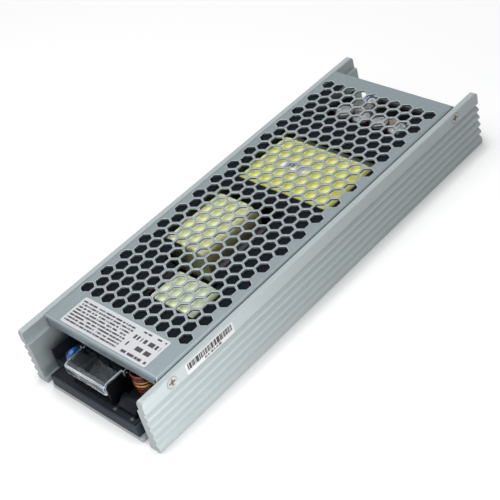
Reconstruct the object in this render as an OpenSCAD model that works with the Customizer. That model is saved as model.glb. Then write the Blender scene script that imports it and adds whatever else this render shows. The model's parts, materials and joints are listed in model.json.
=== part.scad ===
// Slim enclosed power supply: a grooved aluminium channel under a honeycomb cover, with a circuit
// board in an insulating tray and screw terminals in an open bay at each end.
// Millimetres. X runs across, Y along the length with the input end at -Y, Z up from the underside.

/* [Case] */
// Length of the channel
case_l = 232; // [227:1:250]
// Width over the side walls
case_w = 81; // [80:0.5:96]
// Height from the underside to the top of the cover
case_h = 31; // [30:0.5:38]
// Thickness of the floor
floor_t = 2.5; // [2:0.1:3]
// Thickness of a side wall below its ledge
wall_t = 5; // [4.6:0.1:5.4]
// Thickness of a side wall above its ledge
rim_t = 3.3; // [3:0.1:3.6]
// Depth of the ledge below the top of the wall
ledge_drop = 6.6; // [6:0.1:8]
// Radius of the top corners at the ends of the walls
tip_r = 2; // [0.5:0.1:3]
// Chamfer along the top edges of the walls
rim_chamfer = 0.4; // [0.1:0.1:0.8]
// Chamfer along the bottom outer edges
foot_chamfer = 0.8; // [0.1:0.1:1.2]

/* [Side grooves] */
// Height of the smooth band above the grooves
band_h = 6.5; // [6:0.1:8]
// Least height of the smooth foot below the grooves
foot_h = 1.5; // [1:0.1:3]
// Distance from groove to groove
groove_pitch = 4.4; // [3.8:0.1:6]
// Depth of a groove
groove_depth = 1.4; // [0.5:0.1:1.6]
// Height of a groove at the wall's face
groove_mouth = 3.2; // [2:0.1:3.6]
// Height of a groove at its floor
groove_floor = 0.8; // [0.2:0.1:1.6]

/* [Mounting slots] */
// Width of the open slots in the floor's corners
slot_w = 4.5; // [3:0.1:5]
// Length of a slot from the end of the floor
slot_l = 6.5; // [4:0.1:7]
// Distance from the side of the case to the middle of a slot
slot_inset = 8.5; // [8:0.1:9]

/* [Top cover] */
// Thickness of the sheet
cover_t = 1; // [0.8:0.1:1.2]
// Inside radius of the folds
fold_r = 0.3; // [0.2:0.1:0.5]
// Height that the cover stands above the walls
cover_proud = 0.5; // [0.1:0.1:1]
// Gap between the cover and each wall
cover_gap = 0.3; // [0.2:0.05:0.5]
// Length of the open bay at the input end
front_bay = 12.6; // [11:0.1:13]
// Length of the open bay at the output end
rear_bay = 14.2; // [13:0.1:16]
// Height of the folded lips at the cover's ends
lip_h = 4.5; // [3:0.1:5]
// Distance from the cover's side to the end of a lip
lip_inset = 2.4; // [2:0.1:4]

/* [Honeycomb] */
// Width of a hexagonal hole across its flats
vent_af = 6; // [4:0.1:6.4]
// Distance from hole to hole
vent_pitch = 7.03; // [6.9:0.01:9]
// Distance from the cover's front edge to the first row
vent_front = 22.9; // [20:0.1:40]
// Least distance from the last row to the cover's rear edge
vent_rear = 11.6; // [8:0.1:30]
// Least plain margin at each side
vent_side = 2; // [1.8:0.1:6]
// Sideways shift of the whole pattern
vent_shift = -0.6; // [-1:0.1:1]

/* [Cover screws] */
// Diameter of the thread
cover_screw_d = 3; // [2.5:0.1:3.5]
// Diameter of the countersunk head
cover_head_d = 5.6; // [5:0.1:6]
// Length of the screw
cover_screw_l = 5.4; // [5:0.1:5.8]
// Depth of the screw's axis below the top of the wall
cover_screw_drop = 3.2; // [3:0.1:3.6]
// Distance from the cover's end to the screw's axis
cover_screw_inset = 4.3; // [3:0.1:8]

/* [Insulation] */
// Thickness of the tray
tray_t = 0.8; // [0.6:0.1:1]
// Gap between the tray and each side wall
tray_gap = 1.7; // [1.5:0.1:2]
// Height of the tray's low rim, which is the sill at each end
sill_h = 6.1; // [5.9:0.1:6.6]
// Width of the sill
sill_w = 56.6; // [55:0.1:57]
// Height of the tray's side walls
tray_side_h = 12.5; // [8:0.1:14]
// Length of the narrow part of the tray at each end
tray_notch = 7.8; // [7:0.1:8.5]
// Thickness of the film under the cover
film_t = 0.4; // [0.3:0.05:0.5]
// Distance from the film's edge to the cover's flanges and lips
film_margin = 1.2; // [0.8:0.1:1.6]
// Gap between a wound part and the edge of its window in the film
window_gap = 1.6; // [1:0.1:2]
// Width of the open view in the film beside the boost choke
side_view = 15; // [5:0.5:18]
// Width of the film left at the output end
film_border = 3; // [2:0.1:5]
// Thickness of the sheet on the board's front edge
sheet_t = 0.5; // [0.3:0.1:0.6]

/* [Board] */
// Thickness of the board
board_t = 1.6; // [1.2:0.1:2]
// Height of the board above the floor
board_lift = 4; // [3.6:0.1:4.2]
// Gap between the board and the tray's walls
board_gap = 0.5; // [0.3:0.1:0.8]
// Diameter of the posts under the board
post_d = 6; // [5:0.1:6.4]
// Diameter of the board screws
board_screw_d = 3; // [2.5:0.1:3.2]
// Diameter of the board screws' heads
board_head_d = 5.6; // [5:0.1:5.8]
// Height of the board screws' heads
board_head_h = 2.2; // [1.8:0.1:2.6]
// Distance from the board's side to a board screw
board_screw_inset = 3.3; // [3.2:0.1:3.6]

/* [Terminals] */
// Depth of a terminal block, front to back
block_d = 13; // [12.6:0.1:13.2]
// Height of a block's base above the board
block_base_h = 4; // [3.5:0.1:4.2]
// Height of a block's barriers above the board
block_h = 12.3; // [12.2:0.1:13]
// Distance that a block's base lies behind the fronts of its barriers
base_setback = 2; // [0.5:0.1:3]
// Height of the foot that runs out under the barriers' fronts
base_foot_h = 1.2; // [0.8:0.1:2]
// Thickness of the barriers
barrier_t = 1.4; // [1.2:0.1:1.6]
// Thickness of a contact plate
plate_t = 0.8; // [0.6:0.1:1]
// Thickness of a wire clamp
clamp_t = 0.8; // [0.6:0.1:1]
// Distance from a block's open side to its screws
terminal_screw_y = 5.5; // [5:0.1:6]
// Height of the terminal screws' heads
terminal_head_h = 2; // [1.6:0.1:2.2]
// Number of input poles
in_poles = 3; // [2:1:3]
// Distance from input pole to input pole
in_pitch = 8.2; // [8:0.1:8.4]
// Sideways place of the input block
in_x = -2; // [-2.4:0.1:-1.8]
// Distance from the case's end to the input block
in_setback = 3.5; // [3.2:0.1:3.6]
// Diameter of the input terminal screws
in_screw_d = 3.5; // [3:0.1:4]
// Number of output poles
out_poles = 4; // [2:1:4]
// Distance from output pole to output pole
out_pitch = 9.5; // [9:0.1:9.6]
// Sideways place of the output block
out_x = 7; // [6.6:0.1:7.2]
// Distance from the case's end to the output block
out_setback = 1.6; // [1.4:0.1:1.8]
// Diameter of the output terminal screws
out_screw_d = 4; // [3:0.1:4.2]

/* [Terminal cover] */
// Thickness of the clear cover
lid_t = 1.2; // [1:0.1:1.4]
// Height of the cover's front apron below its top
lid_apron_h = 5.8; // [4:0.1:6]
// Depth of the slope between top and apron
lid_slope_d = 2.4; // [1.5:0.1:3]
// Height of the slope between top and apron
lid_slope_h = 1; // [0.6:0.1:1.6]
// Gap between the closed cover and the block
lid_gap = 0.2; // [0.1:0.05:0.3]
// Gap between the apron and the front of the block
lid_front_gap = 0.4; // [0.3:0.05:0.5]
// Distance from the hinge's axis to the block's top and back
hinge_r = 1.6; // [1.5:0.1:1.8]
// Diameter of the hinge studs
stud_d = 2; // [1.6:0.1:2.2]
// Radial clearance of a stud in its ear
stud_clear = 0.05; // [0.03:0.01:0.08]
// Thickness of the cover's ears
ear_t = 1.1; // [0.9:0.1:1.2]
// Gap between an ear and the end of the block
ear_gap = 0.25; // [0.2:0.05:0.3]

/* [Wound parts] */
// Gap between the wound parts and the film
head_gap = 1.4; // [1:0.1:2]
// Thickness of the bases under the wound parts
bobbin_t = 1.6; // [1:0.1:2]
// Distance that a base shows past its wound part at the ends
bobbin_lap = 0.8; // [0.4:0.1:1]
// Width of the front inductor across the case
front_inductor_w = 28; // [20:0.1:28.6]
// Length of the front inductor along the case
front_inductor_l = 18.6; // [12:0.1:19.4]
// Width of the boost choke across the case
boost_choke_w = 26; // [20:0.1:26.6]
// Length of the boost choke along the case
boost_choke_l = 36.4; // [24:0.1:37]
// Width of the main transformer across the case
transformer_w = 56.5; // [40:0.1:57]
// Length of the main transformer along the case
transformer_l = 35.6; // [24:0.1:36.4]
// Radius of the wound parts' tight top edge
wound_r = 1.5; // [0.5:0.1:3]
// Radius of the wound parts' wide top edge
wound_side_r = 7; // [3:0.1:9]
// Diameter of the input choke
choke_d = 11.6; // [10:0.1:11.8]
// Diameter of the input choke's wire
choke_wire_d = 1.7; // [1.2:0.1:2]
// Number of turns on the input choke
choke_turns = 8; // [3:1:8]

/* [Capacitors] */
// Diameter of the bulk capacitors
bulk_d = 18; // [14:0.1:18.4]
// Length of the bulk capacitors
bulk_l = 31.5; // [25:0.1:35]
// Diameter of the output capacitors
out_cap_d = 10; // [8:0.1:10.4]
// Height of the output capacitors
out_cap_h = 18; // [12:0.1:18.6]
// Diameter of the disc capacitor
disc_d = 8.8; // [7:0.1:9.4]
// Thickness of the disc capacitor
disc_t = 3.6; // [3:0.1:4]

/* [Hidden] */
$fn = 48;

// Cuts run past faces by this much
over = 1;
// Clearance round the threads of the screws
thread_clear = 0.05;
// Clearance of a screw through a plain hole
hole_clear = 0.2;
// Depth of a cross recess as a share of its head's height
recess_share = 0.6;

// Ends, walls and levels of the case
front_y = -case_l / 2;
rear_y = case_l / 2;
wall_h = case_h - cover_proud;
inner_w = case_w - 2 * wall_t;
rim_w = case_w - 2 * rim_t;
ledge_z = wall_h - ledge_drop;
groove_n = floor((wall_h - band_h - foot_h) / groove_pitch);

// Cover
cover_front = front_y + front_bay;
cover_rear = rear_y - rear_bay;
cover_l = cover_rear - cover_front;
cover_w = rim_w - 2 * cover_gap;
cover_h = case_h - ledge_z;
cover_under = case_h - cover_t;
fold_outer_r = fold_r + cover_t;
vent_step = vent_pitch * sqrt(3) / 2;
vent_rows = floor((cover_l - vent_front - vent_rear) / vent_step) + 1;
vent_cols = floor((cover_w - 2 * vent_side - vent_af) / vent_pitch) + 1;
cover_screw_z = wall_h - cover_screw_drop;
cover_screw_ys = [cover_front + cover_screw_inset, cover_rear - cover_screw_inset];
cover_head_sink = 0.1;

// Board, tray and film
board_z = floor_t + board_lift;
board_top = board_z + board_t;
board_inset = tray_t + board_gap;
tray_half_w = inner_w / 2 - tray_gap;
board_half_w = tray_half_w - board_inset;
film_z = cover_under - film_t;
post_clear = 0.3;
board_screw_x = board_half_w - board_screw_inset;
board_screw_bite = 3.4;

// Terminal blocks
in_w = in_poles * in_pitch + barrier_t;
in_y = front_y + in_setback;
out_y = rear_y - out_setback;
plate_z = board_top + block_base_h;
clamp_z = plate_z + plate_t;
head_z = clamp_z + clamp_t;
screw_sink = 3;
plate_side_gap = 0.3;
terminal_head_lap = 1.2;

// Terminal cover and its hinge
block_top = board_top + block_h;
hinge_y = in_y + block_d - hinge_r;
hinge_z = block_top - hinge_r;
lid_under = block_top + lid_gap;
lid_top = lid_under + lid_t;
lid_front = in_y - lid_front_gap - lid_t;
lid_back_lap = 0.5;
lid_back = hinge_y + lid_back_lap;
ear_wall = 1.1;
ear_r = stud_d / 2 + ear_wall;

// Small parts beside the input block
disc_x = -21.4;
disc_inset = 11.6;
disc_at = [disc_x, front_y + disc_inset];
disc_lift = 1.6;
lead_d = 0.8;
lead_spread = 5;
choke_x = 18.9;
choke_inset = 18;
choke_at = [choke_x, front_y + choke_inset];
choke_flange_t = 1.3;
drum_proud = 0.4;
filter_cap_w = 10.6;
filter_cap_d = 5.6;
filter_cap_h = 5.9;
filter_cap_slope = 3.2;
filter_cap_x = 14.2;
filter_cap_inset = 3.8;
filter_cap_at = [filter_cap_x, front_y + filter_cap_inset];
rivet_d = 2.2;
rivet_h = 0.7;
rivet_dome_r = 1.5;
rivet_left_x = 12.8;
rivet_right_x = 23.6;
rivet_inset = 2.6;
rivet_places = [for (x = [rivet_left_x, rivet_right_x]) [x, front_y + rivet_inset]];
sheet_gap = 0.5;
sheet_l = 10.6;
sheet_lip_t = 0.3;
sheet_lip_h = 1.6;

// Sizes of the parts in the row along the board
line_core_d = 18;
line_core_bore = 10;
line_core_h = 8;
line_wire_t = 1.5;
line_turn_arc = 130;
resonant_w = 15;
resonant_d = 7;
resonant_h = 13;
resonant_size = [resonant_w, resonant_d, resonant_h];
sink_t = 3;
sink_h = 16;
sink_fin_d = 1;
package_w = 14;
package_t = 4.4;
package_h = 14;
package_lift = 2.5;
package_size = [package_w, package_t, package_h];
lead_w = 1.2;
out_cap_gap = 1;
out_cap_row_gap = 1.5;
out_film_w = 10;
out_film_d = 6;
out_film_h = 11;
out_film_size = [out_film_w, out_film_d, out_film_h];
connector_w = 11;
connector_d = 6;
connector_h = 9;
connector_wall = 0.9;
connector_floor = 2.2;
connector_size = [connector_w, connector_d, connector_h];

// Room that each of them takes along the board, from the input block to the output block
line_choke_room = line_core_d + 2 * line_wire_t;
boost_choke_room = boost_choke_l + 2 * bobbin_lap;
transformer_room = transformer_l + 2 * bobbin_lap;
rectifier_room = sink_t + package_t;
out_cap_room = 2 * out_cap_d + out_cap_row_gap;
row_front = in_y + block_d;
row_rear = out_y - block_d;
row_spare = row_rear - row_front - line_choke_room - bulk_l - boost_choke_room - resonant_d
    - transformer_room - rectifier_room - out_cap_room - out_film_d - connector_d;

// Shares of the spare room in front of each, of one whole
line_choke_share = 0.02;
bulk_share = 0.02;
boost_choke_share = 0.348;
resonant_share = 0.115;
transformer_share = 0.079;
rectifier_share = 0.063;
out_cap_share = 0.182;
out_film_share = 0.079;
connector_share = 0.039;

// Places in the row
line_choke_y = row_front + line_choke_share * row_spare + line_choke_room / 2;
bulk_front_y = line_choke_y + line_choke_room / 2 + bulk_share * row_spare;
bulk_rear_y = bulk_front_y + bulk_l;
boost_choke_front = bulk_rear_y + boost_choke_share * row_spare + bobbin_lap;
boost_choke_rear = boost_choke_front + boost_choke_l;
resonant_y = boost_choke_rear + bobbin_lap + resonant_share * row_spare + resonant_d / 2;
transformer_front = resonant_y + resonant_d / 2 + transformer_share * row_spare + bobbin_lap;
transformer_rear = transformer_front + transformer_l;
rectifier_y = transformer_rear + bobbin_lap + rectifier_share * row_spare + sink_t;
out_cap_front_y = rectifier_y + package_t + out_cap_share * row_spare + out_cap_d / 2;
out_cap_rear_y = out_cap_front_y + out_cap_d + out_cap_row_gap;
out_film_y = out_cap_rear_y + out_cap_d / 2 + out_film_share * row_spare + out_film_d / 2;
connector_y = out_film_y + out_film_d / 2 + connector_share * row_spare + connector_d / 2;

// Board screws: one pair at each end, one by the bulk capacitor and one by the resonant capacitors
board_screw_front = 14;
board_screw_bulk_lap = 2;
board_screw_rear = 19;
board_screw_ys = [
    front_y + board_screw_front, bulk_rear_y - board_screw_bulk_lap, resonant_y, rear_y - board_screw_rear
];
board_screw_places = [for (y = board_screw_ys, s = [-1, 1]) [s * board_screw_x, y]];

// Wound parts
front_inductor_x = 8.8;
front_inductor_shift = 2.9;
boost_choke_x = -14;
transformer_lean = 0.28;
wound_top = film_z - head_gap;
wound_h = wound_top - board_top - bobbin_t;
front_inductor_size = [front_inductor_w, front_inductor_l];
boost_choke_size = [boost_choke_w, boost_choke_l];
transformer_size = [transformer_w, transformer_l];
transformer_x = transformer_lean * (board_half_w - transformer_w / 2);
front_inductor_at = [front_inductor_x, (bulk_front_y + bulk_rear_y) / 2 + front_inductor_shift];
boost_choke_at = [boost_choke_x, (boost_choke_front + boost_choke_rear) / 2];
transformer_at = [transformer_x, (transformer_front + transformer_rear) / 2];

// Parts under the plain front of the cover
fuse_d = 5.2;
fuse_tube_d = 4.7;
fuse_cap_l = 5;
fuse_l = 20;
fuse_x = -23;
fuse_at = [fuse_x, line_choke_y];
line_choke_x = -8;
line_choke_at = [line_choke_x, line_choke_y];
bridge_w = 22;
bridge_t = 4;
bridge_h = 15.5;
bridge_side = 2.5;
bridge_shift = 6.5;
bridge_size = [bridge_w, bridge_t, bridge_h];
bridge_at = [board_half_w - bridge_side - bridge_w / 2, line_choke_y + bridge_shift];

// Heat sinks
boost_sink_l = 36;
boost_sink_inset = 5;
boost_sink_at = [board_half_w - boost_sink_inset, boost_choke_at[1]];
rectifier_sink_l = 52;
rectifier_sink_at = [0, rectifier_y];

// Capacitors round the wound parts: one bulk capacitor by the left side of the board, and one halfway
// between the boost choke and the packages beside it
resonant_left_x = -14.5;
resonant_right_x = 9;
resonant_places = [for (x = [resonant_left_x, resonant_right_x]) [x, resonant_y]];
bulk_side = 4.5;
bulk_left_x = bulk_side + bulk_d / 2 - board_half_w;
bulk_left_y = (bulk_front_y + bulk_rear_y) / 2;
choke_side_x = boost_choke_x + boost_choke_w / 2;
inductor_rear = front_inductor_at[1] + front_inductor_l / 2 + bobbin_lap;
bulk_right_x = (choke_side_x + boost_sink_at[0] - package_t) / 2;
bulk_right_y = (inductor_rear + resonant_y - resonant_d / 2) / 2;
bulk_places = [[bulk_left_x, bulk_left_y], [bulk_right_x, bulk_right_y]];

// Output end
out_cap_x = 2;
out_cap_pitch = out_cap_d + out_cap_gap;
out_cap_places = [
    for (i = [-2:2]) [out_cap_x + out_cap_pitch * i, out_cap_front_y],
    for (i = [-1.5:1.5]) [out_cap_x + out_cap_pitch * i, out_cap_rear_y]
];
dab_r = 4.6;
dab_fill = 0.54;
dab_h = dab_fill * (film_z - board_top - out_cap_h);
dab_places = [for (i = [0, 2, 3, 5, 7]) out_cap_places[i]];
out_film_left_x = 6;
out_film_right_x = 19;
out_film_places = [for (x = [out_film_left_x, out_film_right_x]) [x, out_film_y]];
connector_side = 2.4;
connector_x = board_head_d / 2 - board_screw_x + connector_side + connector_w / 2;
connector_at = [connector_x, connector_y];
out_choke_d = 9.4;
out_choke_wire_d = 1.3;
out_choke_turns = 7;
out_choke_side = 2.8;
out_choke_side_shift = -2;
out_choke_mid_gap = 4.5;
out_choke_mid_shift = 0.3;
out_choke_places = [
    [out_choke_side + out_choke_d / 2 - board_half_w, out_film_y + out_choke_side_shift],
    [connector_x + connector_w / 2 + out_choke_mid_gap, out_film_y + out_choke_mid_shift]
];
trimmer_w = 6.6;
trimmer_d = 7;
trimmer_h = 5;
trimmer_x = -21;
trimmer_inset = 8.5;
trimmer_size = [trimmer_w, trimmer_d, trimmer_h];
trimmer_at = [trimmer_x, rear_y - trimmer_inset];
rotor_d = 4;
rotor_h = 1.4;
rotor_clear = 0.05;
lamp_d = 3;
lamp_h = 4.4;
lamp_rim = 0.4;
lamp_rim_h = 1;
lamp_x = -15.2;
lamp_inset = 6.5;
lamp_at = [lamp_x, rear_y - lamp_inset];

// Fillet cutter for a straight edge along X: a square bar less a round one
module edge_round_cutter(r, length) {
    rotate([90, 0, 90])
        linear_extrude(height = length, center = true)
            difference() {
                square(r + over);
                circle(r);
            }
}

// Rectangle with two round top corners, standing on the X axis
module round_top(w, h, r_left, r_right) {
    translate([-w / 2, 0])
        square([w, h - max(r_left, r_right)]);
    translate([-w / 2 + r_left, 0])
        square([w - r_left - r_right, h]);
    translate([-w / 2 + r_left, h - r_left])
        circle(r_left);
    translate([w / 2 - r_right, h - r_right])
        circle(r_right);
    translate([-w / 2, 0])
        square([w / 2, h - r_left]);
    square([w / 2, h - r_right]);
}

// Lays a section drawn in X and Z along Y
module along_y(length) {
    rotate([90, 0, 0])
        linear_extrude(height = length, center = true)
            children();
}

// Lays a section drawn in Y and Z along X
module along_x(length) {
    rotate([90, 0, 90])
        linear_extrude(height = length, center = true)
            children();
}

// Outline of the tray with its narrow ends, drawn inwards by inset
module tray_plan(inset) {
    end_x = sill_w / 2 - inset;
    main_x = tray_half_w - inset;
    end_y = rear_y - inset;
    step_y = rear_y - tray_notch - inset;
    square([2 * end_x, 2 * end_y], center = true);
    square([2 * main_x, 2 * step_y], center = true);
}

// Cross recess for a driver, cut downwards from the origin into a head
module cross_recess(head_d, depth) {
    bar_l = head_d * 0.6;
    bar_w = bar_l * 0.22;
    for (turn = [0, 90])
        rotate([0, 0, turn])
            translate([-bar_l / 2, -bar_w / 2, -depth])
                cube([bar_l, bar_w, depth + over]);
}

// Pan-head screw: head on top of z = 0, shank below it
module pan_screw(d, head_d, head_h, length) {
    difference() {
        union() {
            intersection() {
                cylinder(d = head_d, h = head_h);
                translate([0, 0, head_h - head_d])
                    sphere(r = head_d);
            }
            translate([0, 0, -length])
                cylinder(d = d, h = length);
        }
        translate([0, 0, head_h])
            cross_recess(head_d, head_h * recess_share);
    }
}

// Countersunk screw: flat of the head at z = 0, pointing down
module countersunk_screw(d, head_d, length) {
    cone_h = (head_d - d) / 2;
    difference() {
        union() {
            translate([0, 0, -cone_h])
                cylinder(d1 = d, d2 = head_d, h = cone_h);
            translate([0, 0, -length])
                cylinder(d = d, h = length);
        }
        cross_recess(head_d, cone_h);
    }
}

// Section of the channel in X and Z
module channel_section() {
    difference() {
        translate([-case_w / 2, 0])
            square([case_w, wall_h]);
        translate([-inner_w / 2, floor_t])
            square([inner_w, wall_h]);
        translate([-rim_w / 2, ledge_z])
            square([rim_w, wall_h]);
        for (side = [0, 1])
            mirror([side, 0])
                translate([case_w / 2, 0])
                    side_cuts();
    }
}

// Grooves and chamfers of one wall, with the wall's outer face at x = 0
module side_cuts() {
    for (i = [0:groove_n - 1])
        translate([0, wall_h - band_h - groove_mouth / 2 - i * groove_pitch])
            polygon([
                [over, groove_mouth / 2], [0, groove_mouth / 2], [-groove_depth, groove_floor / 2],
                [-groove_depth, -groove_floor / 2], [0, -groove_mouth / 2], [over, -groove_mouth / 2]
            ]);
    polygon([
        [-foot_chamfer, 0], [0, foot_chamfer], [over, foot_chamfer], [over, -over], [-foot_chamfer, -over]
    ]);
    for (x = [0, -rim_t])
        translate([x, wall_h])
            polygon([[-rim_chamfer, 0], [0, -rim_chamfer], [rim_chamfer, 0], [0, over]]);
}

// Axis of each cover screw: its children point outwards through the wall
module at_cover_screws() {
    for (side = [-1, 1], y = cover_screw_ys)
        translate([side * case_w / 2, y, cover_screw_z])
            rotate([0, side * 90, 0])
                children();
}

module chassis() {
    tip_y = rear_y - tip_r;
    color("silver")
        difference() {
            along_y(case_l)
                channel_section();
            for (end = [0, 1])
                mirror([0, end, 0])
                    translate([0, tip_y, wall_h - tip_r])
                        edge_round_cutter(tip_r, case_w + 2 * over);
            for (sx = [-1, 1], end = [0, 1])
                mirror([0, end, 0])
                    translate([sx * (case_w / 2 - slot_inset), rear_y - slot_l + slot_w / 2, -over]) {
                        cylinder(d = slot_w, h = floor_t + 2 * over);
                        translate([-slot_w / 2, 0, 0])
                            cube([slot_w, slot_l, floor_t + 2 * over]);
                    }
            at_cover_screws() {
                translate([0, 0, -rim_t - over])
                    cylinder(d = cover_screw_d + 2 * hole_clear, h = rim_t + 2 * over);
                translate([0, 0, -(cover_head_d - cover_screw_d) / 2 - hole_clear])
                    cylinder(d1 = cover_screw_d, d2 = cover_head_d + 2 * hole_clear,
                        h = (cover_head_d - cover_screw_d) / 2 + hole_clear);
            }
        }
}

// Plan of the honeycomb: even rows full, odd rows one hole short
module honeycomb() {
    for (row = [0:vent_rows - 1]) {
        cols = vent_cols - row % 2;
        row_y = cover_front + vent_front + row * vent_step;
        for (col = [0:cols - 1])
            translate([vent_shift + (col - (cols - 1) / 2) * vent_pitch, row_y])
                rotate(90)
                    circle(d = vent_af / cos(30), $fn = 6);
    }
}

module top_cover() {
    lip_w = cover_w - 2 * lip_inset;
    mid_y = (cover_front + cover_rear) / 2;
    color("lightsteelblue")
        difference() {
            union() {
                translate([0, mid_y, ledge_z])
                    along_y(cover_l)
                        difference() {
                            round_top(cover_w, cover_h, fold_outer_r, fold_outer_r);
                            translate([0, -over])
                                round_top(cover_w - 2 * cover_t, cover_h - cover_t + over, fold_r, fold_r);
                        }
                for (y = [cover_front, cover_rear - cover_t])
                    translate([-lip_w / 2, y, case_h - lip_h])
                        cube([lip_w, cover_t, lip_h]);
            }
            translate([0, mid_y, 0])
                for (end = [0, 1])
                    mirror([0, end, 0])
                        translate([0, cover_l / 2 - fold_outer_r, case_h - fold_outer_r])
                            edge_round_cutter(fold_outer_r, cover_w + 2 * over);
            translate([0, 0, cover_under - over])
                linear_extrude(height = cover_t + 2 * over)
                    honeycomb();
            at_cover_screws()
                translate([0, 0, -rim_t - cover_gap - cover_t - over])
                    cylinder(d = cover_screw_d + 2 * thread_clear, h = cover_t + 2 * over);
        }
}

module cover_screws() {
    color("gainsboro")
        at_cover_screws()
            translate([0, 0, -cover_head_sink])
                countersunk_screw(cover_screw_d, cover_head_d, cover_screw_l);
}

// Window in the film over a part of the given size and middle
module window(size, at) {
    translate(at)
        square([size[0] + 2 * window_gap, size[1] + 2 * window_gap], center = true);
}

module insulating_film() {
    film_w = cover_w - 2 * (cover_t + film_margin);
    film_front = cover_front + cover_t + film_margin;
    film_l = cover_l - 2 * (cover_t + film_margin);
    side_view_x = choke_side_x + side_view;
    side_view_y = front_inductor_at[1] + front_inductor_l / 2;
    side_view_end = boost_choke_rear + window_gap;
    rear_view_w = 2 * (board_screw_x - board_head_d / 2 - over);
    rear_view_y = out_cap_front_y + over;
    rear_view_end = film_front + film_l - film_border;
    color("darkslategray")
        translate([0, 0, film_z])
            linear_extrude(height = film_t)
                difference() {
                    translate([-film_w / 2, film_front])
                        square([film_w, film_l]);
                    window(front_inductor_size, front_inductor_at);
                    window(boost_choke_size, boost_choke_at);
                    window(transformer_size, transformer_at);
                    translate([boost_choke_at[0], side_view_y])
                        square([side_view_x - boost_choke_at[0], side_view_end - side_view_y]);
                    translate([-rear_view_w / 2, rear_view_y])
                        square([rear_view_w, rear_view_end - rear_view_y]);
                }
}

module insulating_tray() {
    side_l = case_l - 2 * tray_notch;
    color("dimgray")
        difference() {
            translate([0, 0, floor_t]) {
                linear_extrude(height = tray_t)
                    tray_plan(0);
                linear_extrude(height = sill_h)
                    difference() {
                        tray_plan(0);
                        tray_plan(tray_t);
                    }
                for (side = [0, 1])
                    mirror([side, 0, 0])
                        translate([tray_half_w - tray_t, -side_l / 2, 0])
                            cube([tray_t, side_l, tray_side_h]);
            }
            for (at = board_screw_places)
                translate([at[0], at[1], floor_t - over])
                    cylinder(d = post_d + 2 * post_clear, h = tray_t + 2 * over);
        }
}

module circuit_board() {
    color("darkgreen")
        translate([0, 0, board_z])
            linear_extrude(height = board_t)
                difference() {
                    tray_plan(board_inset);
                    for (at = board_screw_places)
                        translate(at)
                            circle(d = board_screw_d + 2 * hole_clear);
                }
}

module board_posts() {
    color("silver")
        for (at = board_screw_places)
            translate([at[0], at[1], floor_t])
                difference() {
                    cylinder(d = post_d, h = board_lift);
                    translate([0, 0, board_lift - board_screw_bite])
                        cylinder(d = board_screw_d + 2 * thread_clear, h = board_screw_bite + over);
                }
}

module board_screws() {
    screw_l = board_t + board_screw_bite - thread_clear;
    color("gainsboro")
        for (at = board_screw_places)
            translate([at[0], at[1], board_top])
                pan_screw(board_screw_d, board_head_d, board_head_h, screw_l);
}

// Sheet on the board's front edge, with a lip folded over it and cut round what stands on the board
module bay_insulator() {
    end_x = sill_w / 2 - board_inset;
    sheet_y = front_y + board_inset;
    lip_z = board_top + sheet_t - sheet_lip_h;
    cut_z = board_top - over;
    cut_h = sheet_t + 2 * over;
    color("dimgray")
        difference() {
            union() {
                translate([-end_x, sheet_y, board_top])
                    cube([2 * end_x, sheet_l, sheet_t]);
                translate([-end_x, sheet_y - sheet_lip_t, lip_z])
                    cube([2 * end_x, sheet_lip_t, sheet_lip_h]);
            }
            translate([in_x - in_w / 2 - sheet_gap, in_y - sheet_gap, cut_z])
                cube([in_w + 2 * sheet_gap, sheet_l, cut_h]);
            translate([filter_cap_at[0] - sheet_gap, filter_cap_at[1] - sheet_gap, cut_z])
                cube([filter_cap_w + 2 * sheet_gap, filter_cap_d + 2 * sheet_gap, cut_h]);
            for (side = [-1, 1])
                translate([disc_at[0], disc_at[1] + side * lead_spread / 2, cut_z])
                    cylinder(d = lead_d + 2 * hole_clear, h = cut_h);
        }
}

module insulator_rivets() {
    color("darkgray")
        for (at = rivet_places)
            translate([at[0], at[1], board_top + sheet_t])
                intersection() {
                    cylinder(d = rivet_d, h = rivet_h);
                    translate([0, 0, rivet_h - rivet_dome_r])
                        sphere(rivet_dome_r);
                }
}

// Barrier terminal block with its open side at y = 0, standing on z = 0
module barrier_block(poles, pitch, screw_d) {
    w = poles * pitch + barrier_t;
    difference() {
        union() {
            translate([-w / 2, base_setback, 0])
                cube([w, block_d - base_setback, block_base_h]);
            translate([-w / 2, 0, 0])
                cube([w, block_d, base_foot_h]);
            translate([-w / 2, block_d - hinge_r, 0])
                cube([w, hinge_r, block_h - hinge_r]);
            translate([0, block_d - hinge_r, block_h - hinge_r])
                rotate([0, 90, 0])
                    cylinder(r = hinge_r, h = w, center = true);
            for (i = [0:poles])
                translate([-w / 2 + barrier_t / 2 + i * pitch, 0, 0])
                    along_x(barrier_t)
                        polygon([
                            [0, 0], [block_d - hinge_r, 0], [block_d - hinge_r, block_h], [hinge_r, block_h],
                            [0, block_h - hinge_r]
                        ]);
        }
        at_poles(poles, pitch)
            translate([0, 0, block_base_h - screw_sink - thread_clear])
                cylinder(d = screw_d + 2 * thread_clear, h = block_h);
    }
}

// Children are repeated at each pole's screw axis, on a block whose open side is at y = 0
module at_poles(poles, pitch) {
    for (i = [0:poles - 1])
        translate([(i - (poles - 1) / 2) * pitch, terminal_screw_y, 0])
            children();
}

// Places of the two blocks: the output one is turned round
module at_input() {
    translate([in_x, in_y, 0])
        children();
}

module at_output() {
    translate([out_x, out_y, 0])
        rotate([0, 0, 180])
            children();
}

// Contact plates, wire clamps and screws of one block
module contact_plates(poles, pitch, screw_d) {
    size = pitch - barrier_t - 2 * plate_side_gap;
    plate_y = base_setback - terminal_screw_y;
    at_poles(poles, pitch)
        difference() {
            translate([-size / 2, plate_y, plate_z])
                cube([size, size / 2 - plate_y, plate_t]);
            translate([0, 0, plate_z - over])
                cylinder(d = screw_d + 2 * hole_clear, h = plate_t + 2 * over);
        }
}

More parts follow.
